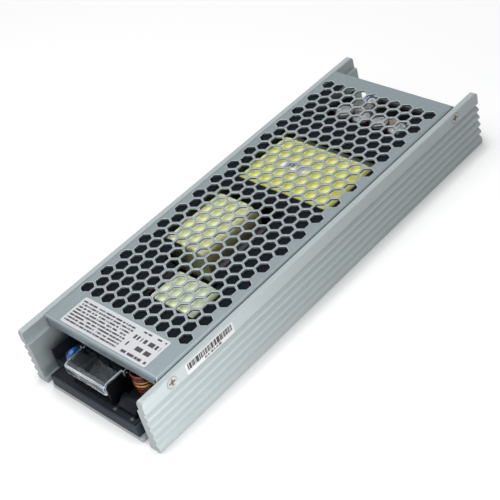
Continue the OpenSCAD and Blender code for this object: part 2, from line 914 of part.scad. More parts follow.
module wire_clamps(poles, pitch, screw_d) {
    size = pitch - barrier_t - 2 * plate_side_gap;
    at_poles(poles, pitch)
        difference() {
            translate([-size / 2, -size / 2, clamp_z])
                cube([size, size, clamp_t]);
            translate([0, 0, clamp_z - over])
                cylinder(d = screw_d + 2 * hole_clear, h = clamp_t + 2 * over);
        }
}

module terminal_screws(poles, pitch, screw_d) {
    at_poles(poles, pitch)
        translate([0, 0, head_z])
            pan_screw(screw_d, screw_d + 2 * terminal_head_lap, terminal_head_h,
                plate_t + clamp_t + screw_sink);
}

module input_terminal_block() {
    stud_l = ear_gap + ear_t;
    color("black") {
        at_input()
            translate([0, 0, board_top])
                barrier_block(in_poles, in_pitch, in_screw_d);
        for (side = [-1, 1])
            translate([in_x + side * (in_w + stud_l) / 2, hinge_y, hinge_z])
                rotate([0, 90, 0])
                    cylinder(d = stud_d, h = stud_l, center = true);
    }
}

module input_terminal_plates() {
    color("khaki")
        at_input()
            contact_plates(in_poles, in_pitch, in_screw_d);
}

module input_terminal_clamps() {
    color("gainsboro")
        at_input()
            wire_clamps(in_poles, in_pitch, in_screw_d);
}

module input_terminal_screws() {
    color("gainsboro")
        at_input()
            terminal_screws(in_poles, in_pitch, in_screw_d);
}

// Clear cover: top, slope and apron in one section, and two ears that ride on the block's studs
module input_terminal_cover() {
    ear_x = in_w / 2 + ear_gap + ear_t / 2;
    slope_y = lid_front + lid_slope_d;
    apron_z = lid_top - lid_apron_h;
    color("whitesmoke", 0.4)
        difference() {
            union() {
                translate([in_x, 0, 0])
                    along_x(in_w)
                        polygon([
                            [lid_back, lid_under], [lid_back, lid_top], [slope_y, lid_top],
                            [lid_front, lid_top - lid_slope_h], [lid_front, apron_z],
                            [lid_front + lid_t, apron_z], [lid_front + lid_t, lid_under - lid_slope_h],
                            [slope_y, lid_under]
                        ]);
                for (side = [-1, 1])
                    translate([in_x + side * ear_x, hinge_y, 0]) {
                        translate([0, 0, hinge_z])
                            rotate([0, 90, 0])
                                cylinder(r = ear_r, h = ear_t, center = true);
                        translate([-ear_t / 2, -ear_r, hinge_z])
                            cube([ear_t, ear_r + lid_back - hinge_y, lid_top - hinge_z]);
                        translate([side > 0 ? -ear_t / 2 - ear_gap - over : -ear_t / 2, -ear_r, lid_under])
                            cube([ear_t + ear_gap + over, ear_r + lid_back - hinge_y, lid_t]);
                    }
            }
            translate([in_x, hinge_y, hinge_z])
                rotate([0, 90, 0])
                    cylinder(d = stud_d + 2 * stud_clear, h = in_w + 4 * ear_t, center = true);
        }
}

module output_terminal_block() {
    color("black")
        at_output()
            translate([0, 0, board_top])
                barrier_block(out_poles, out_pitch, out_screw_d);
}

module output_terminal_plates() {
    color("khaki")
        at_output()
            contact_plates(out_poles, out_pitch, out_screw_d);
}

module output_terminal_clamps() {
    color("gainsboro")
        at_output()
            wire_clamps(out_poles, out_pitch, out_screw_d);
}

module output_terminal_screws() {
    color("gainsboro")
        at_output()
            terminal_screws(out_poles, out_pitch, out_screw_d);
}

// Children are moved to a place on the board
module on_board(at) {
    translate([at[0], at[1], board_top])
        children();
}

// Disc with a fully round rim, standing on edge with its axis along X
module disc_capacitor() {
    color("royalblue")
        on_board(disc_at)
            translate([0, 0, disc_lift + disc_d / 2])
                rotate([0, 90, 0])
                    rotate_extrude() {
                        translate([0, -disc_t / 2])
                            square([(disc_d - disc_t) / 2, disc_t]);
                        intersection() {
                            translate([(disc_d - disc_t) / 2, 0])
                                circle(d = disc_t);
                            translate([0, -disc_t])
                                square(2 * disc_t + disc_d);
                        }
                    }
}

module disc_capacitor_leads() {
    // A lead ends where its inner side meets the disc's round outline
    lead_in = (lead_spread - lead_d) / 2;
    lead_top = disc_lift + disc_d / 2 - sqrt(pow(disc_d / 2, 2) - pow(lead_in, 2));
    color("goldenrod")
        for (side = [-1, 1])
            on_board([disc_at[0], disc_at[1] + side * lead_spread / 2])
                cylinder(d = lead_d, h = lead_top - thread_clear);
}

// Radius of a drum core's post, under one and a half thicknesses of wire
function drum_post_r(d, wire_d) = d / 2 - 1.5 * wire_d;

// Drum core with one or two flanges, and its winding as stacked round turns a little proud of them
module drum_core(d, wire_d, turns, flanges) {
    post_r = drum_post_r(d, wire_d);
    flange_r = d / 2 - drum_proud * wire_d;
    h = turns * wire_d + flanges * choke_flange_t;
    cylinder(r = post_r, h = h);
    for (i = [0:flanges - 1])
        translate([0, 0, i * (h - choke_flange_t)])
            cylinder(r = flange_r, h = choke_flange_t);
}

module drum_winding(d, wire_d, turns) {
    post_r = drum_post_r(d, wire_d);
    turn_r = (d - wire_d) / 2;
    translate([0, 0, choke_flange_t])
        rotate_extrude() {
            translate([post_r + thread_clear, thread_clear])
                square([turn_r - post_r - thread_clear, turns * wire_d - 2 * thread_clear]);
            for (i = [0:turns - 1])
                translate([turn_r, (i + 0.5) * wire_d])
                    circle(d = wire_d - thread_clear);
        }
}

module input_choke_core() {
    color("dimgray")
        on_board(choke_at)
            drum_core(choke_d, choke_wire_d, choke_turns, 1);
}

module input_choke_winding() {
    color("peru")
        on_board(choke_at)
            drum_winding(choke_d, choke_wire_d, choke_turns);
}

module filter_capacitor() {
    color("darkslategray")
        on_board(filter_cap_at)
            translate([filter_cap_w / 2, 0, 0])
                along_x(filter_cap_w)
                    polygon([
                        [0, 0], [filter_cap_d, 0], [filter_cap_d, filter_cap_h],
                        [filter_cap_slope, filter_cap_h], [0, filter_cap_h - filter_cap_slope]
                    ]);
}

// Round fuse with two end caps, lying along Y
module input_fuse() {
    color("antiquewhite")
        on_board(fuse_at)
            translate([0, fuse_l / 2, fuse_d / 2])
                rotate([90, 0, 0]) {
                    cylinder(d = fuse_tube_d, h = fuse_l);
                    for (z = [0, fuse_l - fuse_cap_l])
                        translate([0, 0, z])
                            cylinder(d = fuse_d, h = fuse_cap_l);
                }
}

// Section of the ring core, at its radius
module ring_section(lap) {
    translate([line_core_bore / 2 - lap, -lap])
        square([(line_core_d - line_core_bore) / 2 + 2 * lap, line_core_h + 2 * lap]);
}

module line_choke_core() {
    color("dimgray")
        on_board(line_choke_at)
            translate([0, 0, line_wire_t])
                rotate_extrude()
                    ring_section(0);
}

module line_choke_windings() {
    color("peru")
        on_board(line_choke_at)
            translate([0, 0, line_wire_t])
                for (start = [90 - line_turn_arc / 2, 270 - line_turn_arc / 2])
                    rotate([0, 0, start])
                        rotate_extrude(angle = line_turn_arc)
                            difference() {
                                ring_section(line_wire_t);
                                ring_section(thread_clear);
                            }
}

module bridge_rectifier() {
    size = bridge_size;
    corner_cut = 3;
    hole_z = package_lift + size[2] * 0.7;
    color("black")
        on_board(bridge_at)
            rotate([90, 0, 0])
                linear_extrude(height = size[1], center = true)
                    difference() {
                        union() {
                            translate([-size[0] / 2, package_lift])
                                square([size[0], size[2]]);
                            for (i = [0:3])
                                translate([(i - 1.5) * size[0] / 4 - lead_w / 2, 0])
                                    square([lead_w, package_lift + over]);
                        }
                        translate([0, hole_z])
                            circle(d = board_screw_d + 2 * hole_clear);
                        translate([size[0] / 2, package_lift + size[2]])
                            rotate(45)
                                square(corner_cut, center = true);
                    }
}

// Taped wound part with one tight and one wide top edge, and the base that carries it
module wound_part(size, at) {
    color("khaki")
        on_board(at)
            translate([0, 0, bobbin_t])
                along_y(size[1])
                    round_top(size[0], wound_h, wound_r, wound_side_r);
}

module wound_base(size, at) {
    rail_w = 4;
    color("black")
        on_board(at)
            difference() {
                translate([-size[0] / 2, -size[1] / 2 - bobbin_lap, 0])
                    cube([size[0], size[1] + 2 * bobbin_lap, bobbin_t]);
                translate([-size[0] / 2 - over, rail_w - size[1] / 2, -over])
                    cube([size[0] + 2 * over, size[1] - 2 * rail_w, bobbin_t / 2 + over]);
            }
}

module front_inductor() {
    wound_part(front_inductor_size, front_inductor_at);
}

module front_inductor_base() {
    wound_base(front_inductor_size, front_inductor_at);
}

module boost_choke() {
    wound_part(boost_choke_size, boost_choke_at);
}

module boost_choke_base() {
    wound_base(boost_choke_size, boost_choke_at);
}

module main_transformer() {
    wound_part(transformer_size, transformer_at);
}

module main_transformer_base() {
    wound_base(transformer_size, transformer_at);
}

// Aluminium can with a crimp near its foot and round rims, standing on z = 0
module can_capacitor(d, h) {
    crimp_z = 2.2;
    crimp_r = 0.7;
    rim_r = 0.6;
    difference() {
        rotate_extrude()
            intersection() {
                round_top(d, h, rim_r, rim_r);
                square([d, h]);
            }
        translate([0, 0, crimp_z])
            rotate_extrude()
                translate([d / 2 + crimp_r / 3, 0])
                    circle(crimp_r);
    }
}

module bulk_capacitors() {
    color("midnightblue")
        for (at = bulk_places)
            on_board(at)
                translate([0, bulk_l / 2, bulk_d / 2])
                    rotate([90, 0, 0])
                        can_capacitor(bulk_d, bulk_l);
}

// Boxed film capacitor standing on z = 0, with two trimmed upright edges
module boxed_capacitor(size) {
    trim = 0.8;
    linear_extrude(height = size[2])
        polygon([
            [-size[0] / 2, -size[1] / 2 + trim], [-size[0] / 2 + trim, -size[1] / 2],
            [size[0] / 2 - trim, -size[1] / 2], [size[0] / 2, -size[1] / 2 + trim],
            [size[0] / 2, size[1] / 2], [-size[0] / 2, size[1] / 2]
        ]);
}

module resonant_capacitors() {
    color("dimgray")
        for (at = resonant_places)
            on_board(at)
                boxed_capacitor(resonant_size);
}

// Upright heat sink bar along Y, with shallow fins on its +X face and a plain face at x = 0
module sink_bar(length) {
    fin_pitch = 2.4;
    fin_foot = 1.8;
    fin_n = floor((sink_h - fin_foot) / fin_pitch);
    along_y(length)
        difference() {
            square([sink_t, sink_h]);
            for (i = [0:fin_n - 1])
                translate([sink_t - sink_fin_d, fin_foot + i * fin_pitch])
                    square([sink_fin_d + over, fin_pitch / 2]);
        }
}

// Power package standing on its leads, with its back at y = 0 and its face at -Y
module power_package() {
    size = package_size;
    hole_z = package_lift + size[2] * 0.75;
    difference() {
        union() {
            translate([-size[0] / 2, -size[1], package_lift])
                cube([size[0], size[1], size[2]]);
            for (i = [-1, 0, 1])
                translate([i * size[0] / 3 - lead_w / 2, -size[1] / 2, 0])
                    cube([lead_w, lead_w / 2, package_lift + over]);
        }
        translate([0, over, hole_z])
            rotate([90, 0, 0])
                cylinder(d = board_screw_d + 2 * hole_clear, h = size[1] + 2 * over);
    }
}

module boost_heat_sink() {
    color("silver")
        on_board(boost_sink_at)
            sink_bar(boost_sink_l);
}

module boost_transistors() {
    color("black")
        for (i = [-1, 1])
            on_board([boost_sink_at[0], boost_sink_at[1] + i * boost_sink_l / 4])
                rotate([0, 0, -90])
                    power_package();
}

module rectifier_heat_sink() {
    color("silver")
        on_board(rectifier_sink_at)
            rotate([0, 0, -90])
                sink_bar(rectifier_sink_l);
}

module rectifier_transistors() {
    color("black")
        for (i = [-1, 0, 1])
            on_board([rectifier_sink_at[0] + i * rectifier_sink_l / 3, rectifier_sink_at[1]])
                rotate([0, 0, 180])
                    power_package();
}

module output_capacitors() {
    color("midnightblue")
        for (at = out_cap_places)
            on_board(at)
                can_capacitor(out_cap_d, out_cap_h);
}

module output_choke_cores() {
    color("dimgray")
        for (at = out_choke_places)
            on_board(at)
                drum_core(out_choke_d, out_choke_wire_d, out_choke_turns, 2);
}

module output_choke_windings() {
    color("sienna")
        for (at = out_choke_places)
            on_board(at)
                drum_winding(out_choke_d, out_choke_wire_d, out_choke_turns);
}

module output_filter_capacitors() {
    color("gray")
        for (at = out_film_places)
            on_board(at)
                boxed_capacitor(out_film_size);
}

// Flat caps of a sphere on top of some of the output capacitors
module silicone_dabs() {
    ball_r = (dab_r * dab_r + dab_h * dab_h) / (2 * dab_h);
    color("gainsboro")
        for (at = dab_places)
            on_board(at)
                translate([0, 0, out_cap_h])
                    intersection() {
                        translate([0, 0, dab_h - ball_r])
                            sphere(r = ball_r);
                        cylinder(r = dab_r, h = dab_h + over);
                    }
}

// Open-topped header with two rows of pins
module signal_connector() {
    size = connector_size;
    pin_w = 0.6;
    pin_pitch = 2;
    pin_h = size[2] - connector_floor;
    in_size = [size[0] - 2 * connector_wall, size[1] - 2 * connector_wall, size[2]];
    color("white")
        on_board(connector_at)
            difference() {
                translate([-size[0] / 2, -size[1] / 2, 0])
                    cube(size);
                difference() {
                    translate([-in_size[0] / 2, -in_size[1] / 2, connector_floor])
                        cube(in_size);
                    for (i = [-1.5:1.5], j = [-0.5, 0.5])
                        translate([i * pin_pitch - pin_w / 2, j * pin_pitch - pin_w / 2, 0])
                            cube([pin_w, pin_w, pin_h]);
                }
            }
}

// Trimmer: a square body with a round well, and the slotted rotor that turns in it
module trimmer_body() {
    size = trimmer_size;
    color("royalblue")
        on_board(trimmer_at)
            difference() {
                translate([-size[0] / 2, -size[1] / 2, 0])
                    cube(size);
                translate([0, 0, size[2] - rotor_h])
                    cylinder(d = rotor_d + 2 * rotor_clear, h = rotor_h + over);
            }
}

module trimmer_rotor() {
    color("white")
        on_board(trimmer_at)
            translate([0, 0, trimmer_size[2] - rotor_h + rotor_clear])
                difference() {
                    cylinder(d = rotor_d, h = rotor_h);
                    translate([0, 0, rotor_h])
                        cross_recess(rotor_d, rotor_h * recess_share);
                }
}

// Round lamp with a rim at its foot and a domed top
module indicator_lamp() {
    color("lime")
        on_board(lamp_at) {
            cylinder(d = lamp_d + 2 * lamp_rim, h = lamp_rim_h);
            cylinder(d = lamp_d, h = lamp_h - lamp_d / 2);
            translate([0, 0, lamp_h - lamp_d / 2])
                sphere(d = lamp_d);
        }
}

chassis();
top_cover();
cover_screws();
insulating_film();
insulating_tray();
bay_insulator();
insulator_rivets();
circuit_board();
board_posts();
board_screws();
input_terminal_block();
input_terminal_plates();
input_terminal_clamps();
input_terminal_screws();
input_terminal_cover();
output_terminal_block();
output_terminal_plates();
output_terminal_clamps();
output_terminal_screws();
disc_capacitor();
disc_capacitor_leads();
input_choke_core();
input_choke_winding();
filter_capacitor();
input_fuse();
line_choke_core();
line_choke_windings();
bridge_rectifier();
front_inductor();
front_inductor_base();
boost_choke();
boost_choke_base();
main_transformer();
main_transformer_base();
bulk_capacitors();
resonant_capacitors();
boost_heat_sink();
boost_transistors();
rectifier_heat_sink();
rectifier_transistors();
output_capacitors();
output_choke_cores();
output_choke_windings();
output_filter_capacitors();
silicone_dabs();
signal_connector();
trimmer_body();
trimmer_rotor();
indicator_lamp();
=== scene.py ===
"""Finishes, modelled detail and stage for a slim enclosed power supply."""

import json
import math

import bpy
from bpy.props import FloatProperty, FloatVectorProperty, IntProperty, PointerProperty
from bpy.types import NodeSocket, Operator, Panel, PropertyGroup
from mathutils import Matrix, Vector

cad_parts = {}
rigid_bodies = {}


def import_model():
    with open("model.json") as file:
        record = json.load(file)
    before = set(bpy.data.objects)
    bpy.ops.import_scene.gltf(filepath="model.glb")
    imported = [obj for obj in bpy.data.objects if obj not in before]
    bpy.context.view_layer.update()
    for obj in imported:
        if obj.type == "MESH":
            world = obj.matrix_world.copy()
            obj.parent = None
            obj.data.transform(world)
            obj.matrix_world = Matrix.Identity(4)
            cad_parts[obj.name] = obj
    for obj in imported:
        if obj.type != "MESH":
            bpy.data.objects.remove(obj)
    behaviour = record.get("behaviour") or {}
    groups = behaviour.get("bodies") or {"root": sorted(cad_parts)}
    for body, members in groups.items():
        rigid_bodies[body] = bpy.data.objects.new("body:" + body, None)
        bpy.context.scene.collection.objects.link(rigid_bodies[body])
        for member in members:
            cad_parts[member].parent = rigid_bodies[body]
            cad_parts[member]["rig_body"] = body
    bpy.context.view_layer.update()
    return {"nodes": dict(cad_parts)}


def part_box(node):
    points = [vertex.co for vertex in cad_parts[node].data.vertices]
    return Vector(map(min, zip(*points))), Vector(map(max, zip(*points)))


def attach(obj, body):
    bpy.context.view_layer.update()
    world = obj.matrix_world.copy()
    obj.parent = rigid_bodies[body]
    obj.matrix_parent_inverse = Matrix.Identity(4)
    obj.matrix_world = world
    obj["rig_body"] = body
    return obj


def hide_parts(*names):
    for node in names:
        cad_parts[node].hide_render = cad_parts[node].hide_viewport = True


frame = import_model()
NODES = frame["nodes"]

bl_info = {
    "name": "Slim Power Supply",
    "version": (1, 0, 0),
    "blender": (4, 5, 0),
    "location": "View3D > Sidebar > Power Supply",
    "description": "Finishes a slim enclosed power supply and sets it on a plain stage",
    "category": "Object",
}

MM = 0.001

# How meshes are merged and smoothed
MERGE = 0.002 * MM
FLAT_ANGLE = math.radians(1)
SHARP_ANGLE = math.radians(40)
SMOOTH_ANGLE = math.radians(35)
WOUND_SMOOTH_ANGLE = math.radians(50)
SILICONE_SMOOTH_ANGLE = math.radians(80)

# Edges shorter than this many widths of the rounding stay sharp
LONG_EDGE = 3

# Places of the lowest and the highest corner in an object's bound_box
LOW_CORNER, HIGH_CORNER = 0, 6

# How finely round shapes are divided
WIRE_SIDES = 14
TURN_STEPS = 40
CAN_SIDES = 40

# Normals past which a face counts as the flip cover's front or a capacitor's top
FRONT_FACING = -0.3
TOP_FACING = 0.99

# Samples of the shader nodes that look round a point
EDGE_SAMPLES = 6
FOOT_SAMPLES = 4

# Places of the factor and the two colours among a Mix node's inputs, and of its colour among the outputs
MIX_INPUTS = (0, 6, 7)
MIX_OUTPUT = 2

# Shift of the noise from one printed row to the next, and a pitch that leaves a sheet with one row
ROW_SHIFT = 7.31
ONE_ROW = 1.0


def number_prop(name, description, value, **kind):
    """A number that a user would change, with a unit or subtype where one fits."""
    return FloatProperty(name=name, description=description, default=value, **kind)


def length_prop(name, description, millimetres):
    """A length that a user would change, given in millimetres and kept in metres."""
    return number_prop(name, description, millimetres * MM, unit="LENGTH", subtype="DISTANCE")


def angle_prop(name, description, degrees):
    """An angle that a user would change."""
    return number_prop(name, description, math.radians(degrees), unit="ROTATION", subtype="ANGLE")


def colour_prop(name, description, colour):
    """A colour that a user would change, in linear light."""
    return FloatVectorProperty(name=name, description=description, default=colour, size=3,
                               min=0.0, max=1.0, subtype="COLOR")


def place_prop(name, description, millimetres):
    """A point that a user would change, given in millimetres and kept in metres."""
    return FloatVectorProperty(name=name, description=description, size=3, unit="LENGTH", subtype="XYZ",
                               default=tuple(value * MM for value in millimetres))


class MetalSettings(PropertyGroup):
    """Colours of the metal and ferrite pieces."""

    case: colour_prop("Case", "Satin aluminium of the channel", (0.43, 0.48, 0.49))
    cover: colour_prop("Cover", "Plated steel of the cover", (0.25, 0.30, 0.32))
    # Partly the bare steel of the cut edges and partly a painted highlight on the edges of the cover's holes.
    cut_edge_highlight: colour_prop("Cut edges", "Edges of the holes in the cover", (0.78, 0.82, 0.85))
    screw: colour_prop("Screws", "Bright steel of the screws", (0.70, 0.71, 0.72))
    head: colour_prop("Cover screws", "Dull plating of the cover's screws", (0.47, 0.48, 0.46))
    contact: colour_prop("Contacts", "Tinned metal of the contacts, posts and leads", (0.30, 0.32, 0.35))
    copper: colour_prop("Copper", "Enamelled wire", (0.11, 0.021, 0.006))
    # Painted highlight on a few turns of the wire.
    turn_highlight: colour_prop("Gilt", "Turns of wire that catch the light", (0.45, 0.21, 0.055))
    can: colour_prop("Cans", "Bare aluminium of the capacitors' tops", (0.62, 0.63, 0.64))
    ferrite: colour_prop("Ferrite", "Cores of the chokes", (0.035, 0.034, 0.033))
    scratch: length_prop("Draw lines", "Width of the draw lines along the channel", 0.35)


class PlasticSettings(PropertyGroup):
    """Colours of the plastic, film, resin and ceramic pieces."""

    film: colour_prop("Film", "Insulating film under the cover", (0.005, 0.008, 0.012))
    tray: colour_prop("Tray", "Insulating tray and sill", (0.038, 0.050, 0.064))
    # Partly the sheet's own dark colour and partly painted shade: kept darker for the shaded front bay, and
    # also painted on the board there.
    bay: colour_prop("Bay sheet", "Sheet on the board's front edge", (0.019, 0.023, 0.029))
    rivet: colour_prop("Rivets", "Rivets of the bay sheet", (0.03, 0.034, 0.04))
    black: colour_prop("Black", "Moulded black plastic", (0.006, 0.0065, 0.008))
    slate: colour_prop("Slate", "Output terminal block", (0.045, 0.045, 0.05))
    clear: colour_prop("Clear", "Clear flip cover", (0.83, 0.91, 0.95))
    sheen: colour_prop("Sheen", "Tint of the reflections in the flip cover", (0.66, 0.84, 1.0))
    blue: colour_prop("Blue", "Blue dipped resin", (0.012, 0.11, 0.40))
    board: colour_prop("Board", "Green solder mask", (0.004, 0.095, 0.035))
    sleeve: colour_prop("Sleeve", "Shrink sleeve of the capacitors", (0.032, 0.023, 0.036))
    white: colour_prop("White", "White mouldings", (0.80, 0.80, 0.76))
    brown: colour_prop("Brown", "Case of the film capacitors at the rear", (0.50, 0.40, 0.32))
    trimmer: colour_prop("Trimmer", "Trimmer's case", (0.02, 0.04, 0.11))
    boxed: colour_prop("Boxed film", "Dark case of the boxed film capacitors", (0.006, 0.0085, 0.014))
    ceramic: colour_prop("Ceramic", "Tube of the fuse", (0.72, 0.69, 0.62))
    silicone: colour_prop("Silicone", "Dabs between the rear parts", (0.55, 0.56, 0.56))
    lens: colour_prop("Lens", "Lens of the indicator lamp", (0.05, 0.32, 0.08))


class WoundSettings(PropertyGroup):
    """Colours of the tape on the wound parts."""

    front: colour_prop("Front tape", "Tape on the front inductor", (0.80, 0.88, 0.55))
    middle: colour_prop("Middle tape", "Tape on the boost choke", (0.95, 1.0, 0.50))
    rear: colour_prop("Rear tape", "Tape on the main transformer", (0.96, 0.98, 0.29))
    # Painted highlight on the tape, as pale patches.
    pale: colour_prop("Pale patches", "Patches where the tape is bleached", (0.88, 0.96, 0.88))
    # Painted shade on the tape where it turns down the side.
    side_shade: colour_prop("Side tape", "Tape where it turns down the side", (0.14, 0.14, 0.05))


class ShapeSettings(PropertyGroup):
    """Sizes of the modelled detail."""

    edge: length_prop("Rounded edge", "Width that moulded edges are rounded to", 0.25)
    lid_edge: length_prop("Lid edge", "Width of the flip cover's bright edges", 0.32)
    bay_shade_gap: length_prop("Bay print", "From the black print in the front bay to the front inductor", 10)
    # Painted shade, not print: from where the board's painted shade in the front bay ends to the front
    # inductor.
    tape_grain: length_prop("Tape grain", "Size of the faces on the taped parts", 0.6)
    tape_step: length_prop("Tape step", "Height of the edge of a wrap of tape", 0.22)
    tape_crease: length_prop("Tape crease", "Height of the creases in the tape", 0.5)
    tape_wave: length_prop("Tape wave", "Size of the creases in the tape", 7)
    tape_level: number_prop("Tape level", "Tone of the creases that stays in place", 0.62, subtype="FACTOR")
    wire_d: length_prop("Wire", "Diameter of the wire on the input choke", 1.7)
    can_lip: length_prop("Can lip", "Width of the sleeve's rim on top of a capacitor", 0.75)
    can_sink: length_prop("Can sink", "Depth of a capacitor's top below the rim", 0.35)
    vent_w: length_prop("Vent", "Width of the scored vent in a capacitor's top", 0.45)
    vent_reach: number_prop("Vent reach", "Length of the vent, as a share of the capacitor's radius", 1.2)
    dab_grain: length_prop("Dab grain", "Size of the faces on the silicone", 0.4)
    dab_lump: length_prop("Dab lump", "Height of the lumps in the silicone", 1.1)
    dab_wave: length_prop("Dab wave", "Size of the lumps in the silicone", 2.5)
    dab_level: number_prop("Dab level", "Tone of the lumps that stays in place", 0.7, subtype="FACTOR")


class PrintSettings(PropertyGroup):
    """Sizes and places of the plain label, sticker and tag."""

    label_w: length_prop("Label width", "Label on the cover, across the case", 55)
    label_l: length_prop("Label length", "Label on the cover, along the case", 16.2)
    label_y: length_prop("Label place", "Middle of the label from the cover's front edge", 10.0)
    label_corner: length_prop("Label corner", "Radius of the label's corners", 1.0)
    sticker_y: length_prop("Sticker place", "From the wall's front end to the barred sticker", 25.0)
    sticker_l: length_prop("Sticker length", "Barred sticker on the side wall", 28.5)
    sticker_h: length_prop("Sticker height", "Barred sticker on the side wall", 6.0)
    sticker_drop: length_prop("Sticker drop", "From the wall's top to the sticker", 0.6)
    sticker_corner: length_prop("Sticker corner", "Radius of the sticker's corners", 0.5)
    tag_w: length_prop("Tag width", "Tag on the transformer, across the case", 15.0)
    tag_l: length_prop("Tag length", "Tag on the transformer, along the case", 5.8)
    tag_shift: place_prop("Tag shift", "From the transformer's middle to the tag's", (-6.6, 0.3, 0))
    tag_rise: length_prop("Tag rise", "Height of the tag over the solid under the tape", 0.42)
    tag_corner: length_prop("Tag corner", "Radius of the tag's corners", 0.4)
    thickness: length_prop("Thickness", "Thickness of the printed sheets", 0.06)
    rows: IntProperty(name="Rows", description="Rows of plain bars on the label", default=8)
    block_rows: IntProperty(name="Block rows", description="Rows of plain blocks on the label", default=3)


class StageSettings(PropertyGroup):
    """Camera, floor and light."""

    azimuth: angle_prop("Azimuth", "Direction the camera looks from, round the vertical", 52.778)
    elevation: angle_prop("Elevation", "Height of the camera above the floor", 39.549)
    roll: angle_prop("Roll", "Tilt of the camera about its own axis", -16.145)
    distance: length_prop("Distance", "From the camera to the point it looks at", 548.947)
    target: place_prop("Target", "Point the camera looks at", (2.539, -14.172, 15.0))
    lens: number_prop("Lens", "Focal length in millimetres", 85.82)
    sensor: number_prop("Sensor", "Width of the camera's sensor in millimetres", 36.0)
    floor: colour_prop("Floor", "Pale plain floor", (0.57, 0.57, 0.57))
    floor_size: length_prop("Floor size", "Side of the square floor", 6000)
    floor_lift: number_prop("Floor lift", "White that the camera and reflections see added to the floor",
                            0.52, subtype="FACTOR")
    # Painted contact shadow on the floor.
    shadow_reach: length_prop("Shadow reach", "How far from its foot the object takes that white away", 9.0)
    shadow_share: number_prop("Shadow share", "Share of that white left at its foot", 0.2, subtype="FACTOR")
    room: number_prop("Room", "Strength of the even light from all round", 0.15)
    room_tint: colour_prop("Room tint", "Colour of the even light from all round", (0.95, 0.97, 1.0))
    aim: place_prop("Aim", "Point that both lamps face", (0, -50, 0))
    key_place: place_prop("Key place", "Low lamp at the right; the right wall keeps it off the left one",
                          (150, -130, 40))
    key_size: length_prop("Key size", "Side of the key lamp", 70)
    key_power: number_prop("Key power", "Power of the key lamp", 0.16, unit="POWER")
    fill_place: place_prop("Fill place", "Broad lamp above the case", (-70, -180, 700))
    fill_size: length_prop("Fill size", "Side of the fill lamp", 900)
    fill_power: number_prop("Fill power", "Power of the fill lamp", 6.1, unit="POWER")


# Building blocks for the finishes

def shade(colour, factor):
    """A colour made lighter or darker."""
    return tuple(min(1.0, channel * factor) for channel in colour)


class Finish:
    """A procedural material under construction: one Principled shader and what feeds it."""

    def __init__(self, name, colour, **sockets):
        self.material = bpy.data.materials.new(name)
        self.material.use_nodes = True
        tree = self.material.node_tree
        self.nodes, self.links = tree.nodes, tree.links
        self.shader = self.nodes["Principled BSDF"]
        self.feed(self.shader, base_color=colour, **sockets)
        place = self.node("TexCoord")
        self.coordinates, self.normals = place.outputs["Object"], place.outputs["Normal"]

    def put(self, socket, value):
        """Give one input a plain value, a colour or another node's output."""
        if isinstance(value, NodeSocket):
            self.links.new(value, socket)
        else:
            socket.default_value = (*value, 1.0) if socket.type == "RGBA" else value

    def feed(self, node, **sockets):
        """Fill a node's inputs by their names."""
        for name, value in sockets.items():
            self.put(node.inputs[name.replace("_", " ").title().replace("Ior", "IOR")], value)
        return node

    def node(self, kind, **sockets):
        """A new node with its inputs filled by their names."""
        return self.feed(self.nodes.new("ShaderNode" + kind), **sockets)

    def math(self, operation, *values):
        """A Math node whose inputs are outputs or plain numbers."""
        node = self.node("Math")
        node.operation = operation
        for socket, value in zip(node.inputs, values):
            self.put(socket, value)
        return node.outputs[0]

    def axis(self, name):
        """One of the Object coordinates."""
        return self.node("SeparateXYZ", vector=self.coordinates).outputs[name]

    def noise(self, grain, stretch=(1, 1, 1), detail=3.0, rough=0.5, distortion=0.0):
        """Noise whose patches are about one grain across, in metres."""
        place = self.node("Mapping", vector=self.coordinates, scale=stretch).outputs["Vector"]
        return self.node("TexNoise", vector=place, scale=1.0 / grain, detail=detail, roughness=rough,
                         distortion=distortion).outputs["Fac"]

    def cells(self, size):
        """Distance to the middle of irregular cells of about that size, in metres."""
        return self.node("TexVoronoi", vector=self.coordinates, scale=1.0 / size).outputs["Distance"]

    def ramp(self, value, low, high, to_low=0.0, to_high=1.0):
        """value from low to high, carried over to another range and held at its ends."""
        return self.node("MapRange", value=value, from_min=low, from_max=high, to_min=to_low,
                         to_max=to_high).outputs["Result"]

    def mix(self, factor, first, second):
        """Two colours, or an output and a colour, mixed by factor."""
        node = self.node("Mix")
        node.data_type = "RGBA"
        for index, value in zip(MIX_INPUTS, (factor, first, second)):
            self.put(node.inputs[index], value)
        return node.outputs[MIX_OUTPUT]

    def shades(self, value, colour, first, second, low=0.3, high=0.7):
        """From one shade of a colour to another while value runs from low to high."""
        return self.mix(self.ramp(value, low, high), shade(colour, first), shade(colour, second))

    def tint(self, output):
        """Base colour from another node."""
        self.feed(self.shader, base_color=output)

    def gloss(self, value, low, high):
        """Roughness that runs from low to high with value."""
        self.feed(self.shader, roughness=self.ramp(value, 0.3, 0.7, low, high))
        return self

    def bump(self, height, depth, strength):
        """Relief of that depth in metres, laid over any relief that is there already."""
        node = self.node("Bump", strength=strength, distance=depth, height=height)
        before = self.shader.inputs["Normal"].links
        if before:
            self.feed(node, normal=before[0].from_socket)
        self.feed(self.shader, normal=node.outputs["Normal"])
        return self

    def rounded(self, radius):
        """Normals as if the edges were rounded to that radius."""
        node = self.node("Bevel", radius=radius)
        node.samples = EDGE_SAMPLES
        return node.outputs["Normal"]

    def worn_edges(self, radius):
        """Edges that catch the light as if they were rounded to that radius."""
        self.feed(self.shader, normal=self.rounded(radius))

    def edge_mask(self, radius):
        """One along a piece's edges and zero on its flat faces."""
        dot = self.node("VectorMath")
        dot.operation = "DOT_PRODUCT"
        self.links.new(self.rounded(radius), dot.inputs[0])
        self.links.new(self.node("NewGeometry").outputs["True Normal"], dot.inputs[1])
        return self.ramp(dot.outputs["Value"], 0.90, 0.99, 1.0, 0.0)


# Finishes

